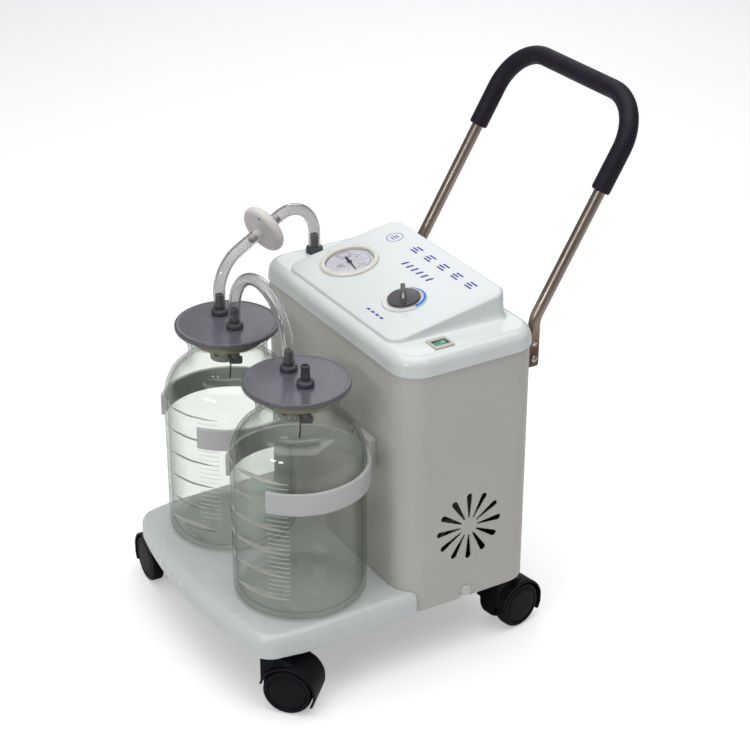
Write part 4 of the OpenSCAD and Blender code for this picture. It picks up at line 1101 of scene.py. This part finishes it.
# ---- regulator ----
def regulator():
    ring = lathe([(5.3, 0.05), (22.6, 0.05), (23, 0.35), (22.9, 0.9), (22.4, 1.4), (18.4, 1.5), (18.0, 1.3),
                  (17.4, 1.1), (5.3, 1.1)], 128, closed=True)
    piece("regulator_ring", moved(ring, KNOB), "chassis", RING, ["regulator_bezel"])
    outer, inner = [], []
    sweep_from, sweep_to, steps = 2, 133, 48
    for i in range(steps + 1):
        share = i / steps
        angle = math.radians(sweep_from + (sweep_to - sweep_from) * share)
        width = 3.6 * (1 - share) ** 0.8 + 0.25
        outer.append((22.0 * math.cos(angle), 22.0 * math.sin(angle)))
        inner.append(((22.0 - width) * math.cos(angle), (22.0 - width) * math.sin(angle)))
    crescent = slab(outer + inner[::-1], 1.38, 1.56)
    piece("regulator_scale", moved(crescent, KNOB), "chassis", BLUE_SCALE)
    base = lathe([(0, -16), (3, -16), (3, 1.8), (16.2, 1.8), (16.6, 2.2), (16.6, 3.6), (16.2, 4.3),
                  (15.4, 4.55), (0, 4.6)], 96)
    piece("knob_disc", moved(base, KNOB), "regulator_knob", KNOB_GREY, ["regulator_knob"])
    blade = moved(block(31, 4.6, 6.2, 0.7, 0.9), KNOB @ turn(-31, "Z") @ shift(0, 0, 4.4))
    piece("knob_blade", blade, "regulator_knob", KNOB_GREY)
    line = moved(block(9, 0.9, 0.25, 0.05, 0.2), KNOB @ turn(-31, "Z") @ shift(9.5, 0, 10.5))
    piece("knob_pointer", line, "regulator_knob", RING)


# ---- switch ----
def switch():
    frame_mid = middle("switch_frame")
    at = shift(frame_mid.x, frame_mid.y, STRIP_Z)
    outer = slab(rounded_box_outline(10.25, 11, 1.2), 0.02, 1.8, 0.5)
    obj = piece("switch_surround", moved(outer, at), "chassis", SWITCH_BEIGE,
                ["switch_frame"])
    carve(obj, moved(rounded_prism(11, 17, 20), at @ shift(0, 0, -9)), 40, 0.25)
    case = moved(block(17, 19, 16, 0.4), at @ shift(0, 0, -16))
    inner = piece("switch_case", case, "chassis", SWITCH_RECESS)
    carve(inner, moved(rounded_prism(10.6, 16.6, 20), at @ shift(0, 0, -9)), 40)
    pins = join(*[moved(block(4, 0.8, 7, 0.1), at @ shift(0, dy, -22.5)) for dy in (-5, 5)])
    piece("switch_terminals", pins, "chassis", SCREW_STEEL)
    axis = joint_place("switch_rocker_tilt")
    curve = [(7.0, 2.4), (6.2, 3.3), (3, 3.05), (0, 2.9), (-3, 3.05), (-6.2, 3.3), (-7.0, 2.4), (-6.4, -2.6),
             (0, -3.6), (6.4, -2.6)]
    rocker = moved(slab(curve, -4.6, 4.6, 0.35), turn(90, "Z") @ turn(90, "X"))
    tilted = Matrix.Translation(axis) @ turn(8, "X")
    rocker = moved(rocker, tilted)
    piece("rocker_cap", rocker, "switch_rocker", SWITCH_GREEN, ["switch_rocker"])
    mark = moved(block(1.0, 4.2, 0.3, 0.05, 0.3), tilted @ shift(0, 3.6, 2.95))
    piece("rocker_mark", mark, "switch_rocker", RING)


# ---- printed marks on the console ----
def console_bar(x, y, w, d, skew=0.0):
    """Flat printed bar on the console, w wide and d deep."""
    r = min(0.8, d / 2 - 0.05, w / 2 - 0.05)
    outline = [(u + skew * v, v) for u, v in rounded_box_outline(w / 2, d / 2, r)]
    return moved(slab(outline, -0.02, 0.05), on_console(x, y))


def console_print():
    """Plain bars and a ring where the real object carries printed marks."""
    marks = []
    for i in range(5):
        x = -31 + 25 * i
        y = JAR_Y + 199
        marks += [console_bar(x + 1.4, y + 3.6, 12, 2.0), console_bar(x - 1.4, y, 10, 2.0),
                  console_bar(x + 0.8, y - 3.6, 12, 2.0)]
    for i in range(6):
        marks.append(console_bar(-16 + 9.2 * i, JAR_Y + 176, 3.2, 8, 0.25))
    for i in range(4):
        marks.append(console_bar(34 + 8 * i, JAR_Y + 103, 5, 2.6, 0.2))
    ring = lathe([(8.2, -0.02), (9.0, -0.02), (9.0, 0.05), (8.2, 0.05)], 48, closed=True)
    marks.append(moved(ring, on_console(-70, JAR_Y + 197)))
    for i in range(3):
        marks.append(console_bar(-70, JAR_Y + 194 + 3 * i, 9 - 2 * abs(i - 1), 1.3))
    piece("console_marks", join(*marks), "chassis", BLUE_INK, flat=True)


# ---- handle ----
HANDLE_X = 108
HANDLE_LEAN = math.radians(30.9)
LEG_LEN = 236.4
HANDLE_CORNER = 50
FLAT_LOW = TRAY_HIGH.z + 197.5          # flattened tube ends, screwed to the brackets
HANDLE_KNEE = Vector((HANDLE_X, HOUSING_HIGH.y + 17.5, TRAY_HIGH.z + 249.8))
LEG_UP = Vector((0, math.sin(HANDLE_LEAN), math.cos(HANDLE_LEAN)))


def handle_points():
    """Half of the handle's centre line, from the right foot up to the middle of the bar."""
    bend_r = 26
    setback = bend_r * math.tan(HANDLE_LEAN / 2)
    foot = [Vector((HANDLE_X, HANDLE_KNEE.y, FLAT_LOW + v)) for v in (0, 4, 12, 20, 28, 34.5, 38.5, 43)]
    bend = []
    for i in range(13):
        a = HANDLE_LEAN * i / 12
        bend.append(HANDLE_KNEE + Vector((0, bend_r * (1 - math.cos(a)), bend_r * math.sin(a) - setback)))
    top = LEG_LEN - HANDLE_CORNER
    leg = [HANDLE_KNEE + LEG_UP * (setback + (top - setback) * i / 12) for i in range(1, 13)]
    centre = HANDLE_KNEE + LEG_UP * top - Vector((HANDLE_CORNER, 0, 0))
    corner = [centre + Vector((x, 0, 0)) + LEG_UP * y for x, y in arc2(0, 0, HANDLE_CORNER, 4.5, 90, 19)]
    end = corner[-1]
    bar = [Vector((end.x * (1 - i / 6), end.y, end.z)) for i in range(1, 7)]
    return foot, bend, leg, corner, bar


SCREW_HEIGHTS = (FLAT_LOW + 9, FLAT_LOW + 26)


def mirrored(points):
    return points + [Vector((-p.x, p.y, p.z)) for p in reversed(points[:-1])]


def handle():
    foot, bend, leg, corner, bar = handle_points()
    path = mirrored(foot + bend + leg + corner + bar)
    steps = 40
    sections = []
    tube_r, flat_half, flat_half_w = 6, 2, 6.5
    foot_shares = [0, 0, 0, 0, 0, 0.12, 0.55, 1]      # how round the tube is at each point of its foot
    for i in range(len(path)):
        k = min(i, len(path) - 1 - i)
        share = foot_shares[k] if k < len(foot_shares) else 1
        w = flat_half + (tube_r - flat_half) * share
        d = flat_half_w + (tube_r - flat_half_w) * share
        power = 1 + (1 - share) * 1.6
        outline = []
        for n in range(steps):
            a = 2 * math.pi * n / steps
            c, s = math.cos(a), math.sin(a)
            norm = (abs(c) ** (2 * power) + abs(s) ** (2 * power)) ** (1 / (2 * power))
            scale = 1 / norm if share < 1 else 1
            outline.append((w * c * scale, d * s * scale))
        sections.append(outline)
    end = [(u * 0.82, v * 0.9) for u, v in sections[0]]
    sections[0] = end
    sections[-1] = end
    obj = piece("handle_bar", sweep(path, sections), "chassis", HANDLE_STEEL,
                ["handle_tube"])
    tools = []
    for x in (-HANDLE_X, HANDLE_X):
        for z in SCREW_HEIGHTS:
            tools.append(rod(2.6, -10, 10, shift(x, foot[0].y, z) @ turn(90, "Y")))
    carve(obj, join(*tools))
    grip(leg, corner, bar)


def grip(leg, corner, bar):
    """Foam sleeve over the bar, both corners and the upper part of the legs."""
    tube_r, foam_r = 6.05, 9.75
    first = HANDLE_KNEE + LEG_UP * (LEG_LEN - 95)
    lower = [first.lerp(leg[-1], i / 6) for i in range(7)]
    path = mirrored(lower + corner + bar)
    sleeve = hose(path, foam_r, tube_r, 48, 1.4)
    piece("grip_sleeve", sleeve, "chassis", FOAM, ["handle_grip"])


def cross_screw(r, h, shank_r, shank):
    """Screw with a domed head on z = 0 and its shank below, and the cutter of its cross recess."""
    profile = [(0, -shank), (shank_r - 0.4, -shank), (shank_r, -shank + 0.4), (shank_r, 0), (r, 0),
               (r, h * 0.25)]
    profile += arc2(0, h * 0.25, r, 8, 90, 8, h * 0.75)
    profile[-1] = (0, h)
    arm, half = r * 0.55, r * 0.13
    cross = [(arm, -half), (arm, half), (half, half), (half, arm), (-half, arm), (-half, half), (-arm, half),
             (-arm, -half), (-half, -half), (-half, -arm), (half, -arm), (half, -half)]
    return lathe(profile, 32), slab(cross, h * 0.45, h * 1.5)


def screws(name, places, size, stands_for):
    bodies, recesses = [], []
    for place in places:
        body, recess = cross_screw(*size)
        bodies.append(moved(body, place))
        recesses.append(moved(recess, place))
    obj = piece(name, join(*bodies), "chassis", SCREW_STEEL, stands_for, sharp=35)
    carve(obj, join(*recesses), 35)


def handle_fixings():
    lower, upper, panel = [], [], []
    for side in SIDES.values():
        outer = turn(side * 90, "Y")
        lower.append(shift(side * (HANDLE_X + 2), HANDLE_KNEE.y, SCREW_HEIGHTS[0]) @ outer)
        upper.append(shift(side * (HANDLE_X + 2), HANDLE_KNEE.y, SCREW_HEIGHTS[1]) @ outer)
        for z in SCREW_HEIGHTS:
            panel.append(shift(side * (HANDLE_X - 15.5), HOUSING_HIGH.y + 3, z) @ turn(-90, "X"))
    screws("handle_side_screws", lower, (3.6, 2.4, 2.4, 12), ["handle_screws"])
    screws("handle_panel_screws", panel, (3.6, 2.2, 2.1, 3), [])
    rivet = [(0, -12), (2.4, -12), (2.4, 0), (2.9, 0), (2.9, 0.3)] + arc2(0, 0.3, 2.9, 10, 90, 6, 0.9)
    rivet[-1] = (0, 1.2)
    shape = join(*[moved(lathe(rivet, 32), place) for place in upper])
    piece("handle_rivets", shape, "chassis", SCREW_STEEL)
    paint(frame["nodes"]["handle_brackets"], BRACKET_STEEL)


def housing_knobs():
    mid = middle("housing_screws")
    shapes = []
    for side in SIDES.values():
        profile = [(0, -9), (2.3, -9), (2.3, 0.02), (5.2, 0.02), (5.5, 0.4), (5.5, 2.0)]
        profile += arc2(4.3, 2.0, 1.2, 0, 90, 6) + [(3.4, 3.2), (0, 3.2)]
        place = shift(side * HOUSING_HIGH.x, mid.y, mid.z) @ turn(side * 90, "Y")
        shapes.append(moved(lathe(profile, 48), place))
    piece("housing_knobs", join(*shapes), "chassis", WHITE_SCREW,
          ["housing_screws"])


# ---- casters ----
CASTERS = ("front_left", "front_right", "rear_left", "rear_right")
WHEEL_R, WHEEL_T, WEB = 25, 13, 6
HOOD_R, HOOD_HALF, TRAIL, NECK_R, NECK_TOP = 29, 20, 15, 14, 60


def caster_place(name):
    """Frame of a caster: X towards its trailing wheels, origin on the floor under the swivel."""
    swivel = joint_place(f"caster_{name}_swivel")
    axle = joint_place(f"wheels_{name}_roll")
    heading = math.degrees(math.atan2(axle.y - swivel.y, axle.x - swivel.x))
    return shift(swivel.x, swivel.y, 0) @ turn(heading, "Z")


def upright(shape):
    """Turns a prism drawn in XY, along Z, so that it is drawn in XZ, along Y."""
    return moved(shape, turn(90, "X"))


def hood_profile():
    """Side outline of the fender: a thick arc over the wheels."""
    profile = [(TRAIL - HOOD_R, 31.5)] + arc2(TRAIL, WHEEL_R, HOOD_R, 166, -18, 36)
    profile += [(TRAIL + 25.6, 11.5), (TRAIL + 23.4, 10.6)]
    profile += arc2(TRAIL, WHEEL_R, WHEEL_R + 1.5, -33, 0, 8)
    profile += arc2(TRAIL, WHEEL_R, WHEEL_R + 1.5, 2, 165, 30)
    return profile[::-1]


def blend_solids(shape, material, voxel, smooth):
    """Fuses overlapping solids into one skin with soft, moulded creases."""
    obj = solid("blend", shape, material, 180)
    remesh = obj.modifiers.new("fuse", "REMESH")
    remesh.mode = "VOXEL"
    remesh.voxel_size = voxel * MM
    remesh.use_smooth_shade = True
    relax = obj.modifiers.new("relax", "SMOOTH")
    relax.factor = 0.5
    relax.iterations = smooth
    bake(obj, 180)
    return obj


def fender_mesh():
    """Fender, web, shoulder and neck of one caster, with room for its stem, wheels and axle."""
    fender = upright(slab(hood_profile(), -HOOD_HALF, HOOD_HALF))
    web_profile = [(TRAIL - HOOD_R + 0.6, WHEEL_R - 6)] + arc2(TRAIL, WHEEL_R, HOOD_R - 0.8, 180, -20, 30)
    web_profile += arc2(TRAIL, WHEEL_R, 9, -70, -140, 6)
    web = upright(slab(web_profile[::-1], -WEB + 0.5, WEB - 0.5))
    shoulder = [(-NECK_R + 0.3, 30), (-NECK_R + 0.3, NECK_TOP - 3), (-NECK_R + 2, NECK_TOP - 0.5),
                (NECK_R - 6, NECK_TOP - 0.5), (NECK_R - 2, NECK_TOP - 2.5), (TRAIL + 18, WHEEL_R + 21.5),
                (TRAIL + 12, WHEEL_R + 24), (TRAIL, WHEEL_R + 27), (0, 30 + 14)]
    ridge = upright(slab(shoulder[::-1], -NECK_R + 1, NECK_R - 1))
    neck = lathe([(0, 29), (NECK_R - 0.4, 29), (NECK_R - 0.4, NECK_TOP - 2), (NECK_R - 2.5, NECK_TOP - 0.3),
                  (0, NECK_TOP - 0.3)], 48)
    hood = blend_solids(join(fender, web, ridge, neck), CASTER, 0.8, 6)
    for y in (-WEB, WEB + 40):
        disc = slab(arc2(TRAIL, WHEEL_R, WHEEL_R + 1.2, 0, 360, 64)[:-1], 0, 40)
        carve(hood, moved(upright(disc), shift(0, y, 0)), 50)
    carve(hood, lathe([(0, 20), (4.1, 20), (4.1, 70), (0, 70)], 32), 50)
    carve(hood, upright(slab(arc2(TRAIL, WHEEL_R, 3.6, 0, 360, 24)[:-1], -30, 30)), 50)
    mesh = hood.data
    bpy.data.objects.remove(hood)
    return mesh


def wheel_profile():
    """(radius, height) from the inner face to the outer face, height measured from the web."""
    r, t = WHEEL_R, WHEEL_T
    profile = [(0, 0.5), (r - 1.4, 0.5), (r - 0.3, 1.1), (r, 2.2), (r, t - 3.2)]
    profile += arc2(r - 3.4, t - 3.2, 3.4, 6, 84, 8)
    profile += [(r - 4.4, t + 0.2), (r - 5.0, t - 0.5), (r - 5.5, t - 0.9), (r - 6.1, t - 0.5),
                (r - 7, t + 0.05)]
    profile += [(14, t + 0.4), (8, t + 0.5), (4, t + 0.5), (0, t + 0.5)]
    return profile


def wheel_mesh():
    """The two wheels of a caster on their axle, around the axle's middle."""
    shapes = [moved(lathe(wheel_profile(), 96), turn(tilt, "X") @ shift(0, 0, WEB)) for tilt in (90, -90)]
    pin = lathe([(0, -WEB - 1), (3.5, -WEB - 1), (3.5, WEB + 1), (0, WEB + 1)], 32)
    shapes.append(moved(pin, turn(90, "X")))
    obj = solid("wheel", join(*shapes), TYRE, 45)
    mesh = obj.data
    bpy.data.objects.remove(obj)
    return mesh


def stand(name, mesh, place, body, stands_for):
    """A piece that shows a shared mesh at its own place."""
    obj = bpy.data.objects.new(name, mesh)
    bpy.context.scene.collection.objects.link(obj)
    obj.matrix_world = Matrix.Translation(place.to_translation() * MM) @ place.to_3x3().to_4x4()
    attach(obj, body)
    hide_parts(*stands_for)


def casters():
    fender, wheel = fender_mesh(), wheel_mesh()
    for name in CASTERS:
        place = caster_place(name)
        stand("caster_fender_" + name, fender, place, "caster_" + name,
              ["caster_hood_" + name])
        stand("wheel_pair_" + name, wheel, place @ shift(TRAIL, 0, WHEEL_R), "wheels_" + name,
              ["caster_wheels_" + name])


# ---- inner parts that keep their CAD shape ----
INNER_FINISH = {
    "chassis_plate": PLATE_STEEL, "base_screws": SCREW_STEEL, "clip_screws": SCREW_STEEL, "gauge_case": FAN,
    "regulator_valve": BRASS, "power_inlet": DARK, "motor_stator": MOTOR, "motor_bearings": SCREW_STEEL,
    "motor_rotor": PLATE_STEEL, "cooling_fan": FAN, "pump_crankcase": ALUMINIUM, "pump_rod": ALUMINIUM,
    "pump_diaphragm": TUBE_END, "pump_head": ALUMINIUM, "pump_mounts": TUBE_END, "internal_hoses": INNER_HOSE,
    "float_left": FLOAT, "float_right": FLOAT, "caster_stems": PLATE_STEEL,
}


# ---- stage ----
CAMERA_AT = (1549.2, -804.7 + JAR_Y, 1116.2 + TRAY_HIGH.z)
CAMERA_TURN = (90 - 27.585, 0.156, 58.869)


def area_light(name, place, aim, size, power, color=(1, 1, 1)):
    data = bpy.data.lights.new(name, "AREA")
    data.shape = "RECTANGLE"
    data.size, data.size_y = size
    data.energy = power
    data.color = color
    lamp = bpy.data.objects.new(name, data)
    bpy.context.scene.collection.objects.link(lamp)
    lamp.location = place
    lamp.rotation_euler = (Vector(aim) - Vector(place)).to_track_quat("-Z", "Y").to_euler()
    return lamp


def to_camera(tree, socket, otherwise, seen):
    """Gives a shader input one value for what the camera sees and another for all other light."""
    path = tree.nodes.new("ShaderNodeLightPath")
    value = tree.nodes.new("ShaderNodeMapRange")
    value.inputs["To Min"].default_value = otherwise
    value.inputs["To Max"].default_value = seen
    tree.links.new(path.outputs["Is Camera Ray"], value.inputs["Value"])
    tree.links.new(value.outputs["Result"], socket)


def stage():
    floor_finish = moulded("studio_floor", (0.9, 0.9, 0.9), 0.7, 60, 0.01, 3, 0.985)
    surface = next(node for node in floor_finish.node_tree.nodes if node.type == "BSDF_PRINCIPLED")
    surface.inputs["Emission Color"].default_value = (1, 1, 1, 1)
    to_camera(floor_finish.node_tree, surface.inputs["Emission Strength"], 0, 0.4)
    half, z = 12, -0.0005
    mesh = bpy.data.meshes.new("studio_floor")
    corners = [(-half, -half, z), (half, -half, z), (half, half, z), (-half, half, z)]
    mesh.from_pydata(corners, [], [[0, 1, 2, 3]])
    mesh.materials.append(floor_finish)
    floor = bpy.data.objects.new("studio_floor", mesh)
    bpy.context.scene.collection.objects.link(floor)
    area_light("overhead", (0.15, -0.1, 2.3), (0, 0, 0.2), (2.6, 2.6), 44)
    for i in (-1, 1):
        area_light(f"window_{i}", (0.87 + 0.24 * i, -2.09 + 0.1 * i, 1.35), (0, 0, 0.25), (0.34, 0.24), 4)
    area_light("rim", (-1.9, 1.3, 1.4), (0, 0, 0.3), (1.0, 1.6), 6, (0.96, 0.97, 1.0))
    world = bpy.data.worlds.new("studio")
    world.use_nodes = True
    background = world.node_tree.nodes["Background"]
    background.inputs["Color"].default_value = (0.93, 0.95, 0.97, 1)
    to_camera(world.node_tree, background.inputs["Strength"], 0.2, 0.95)
    scene = bpy.context.scene
    scene.world = world
    scene.view_settings.view_transform = "Standard"
    scene.view_settings.look = "None"
    scene.cycles.max_bounces = 24
    scene.cycles.transmission_bounces = 20
    scene.cycles.transparent_max_bounces = 24
    scene.cycles.caustics_refractive = False
    scene.cycles.caustics_reflective = False
    camera = bpy.data.cameras.new("camera")
    camera.sensor_width = 36
    camera.lens = 1991.2 * 36 / 750
    view = bpy.data.objects.new("camera", camera)
    scene.collection.objects.link(view)
    tilt, roll, heading = CAMERA_TURN
    view.matrix_world = (Matrix.Translation(Vector(CAMERA_AT) * MM) @ turn(heading, "Z") @ turn(tilt, "X")
                         @ turn(roll, "Z"))
    scene.camera = view


def main():
    top_cover()
    housing()
    tray()
    for side in SIDES:
        jar_clip(side)
        jar(side)
        lid_set(side)
    crossover()
    filter_line()
    vacuum_port()
    gauge()
    regulator()
    switch()
    console_print()
    handle()
    handle_fixings()
    housing_knobs()
    casters()
    for node, material in INNER_FINISH.items():
        paint(frame["nodes"][node], material)
    stage()


main()
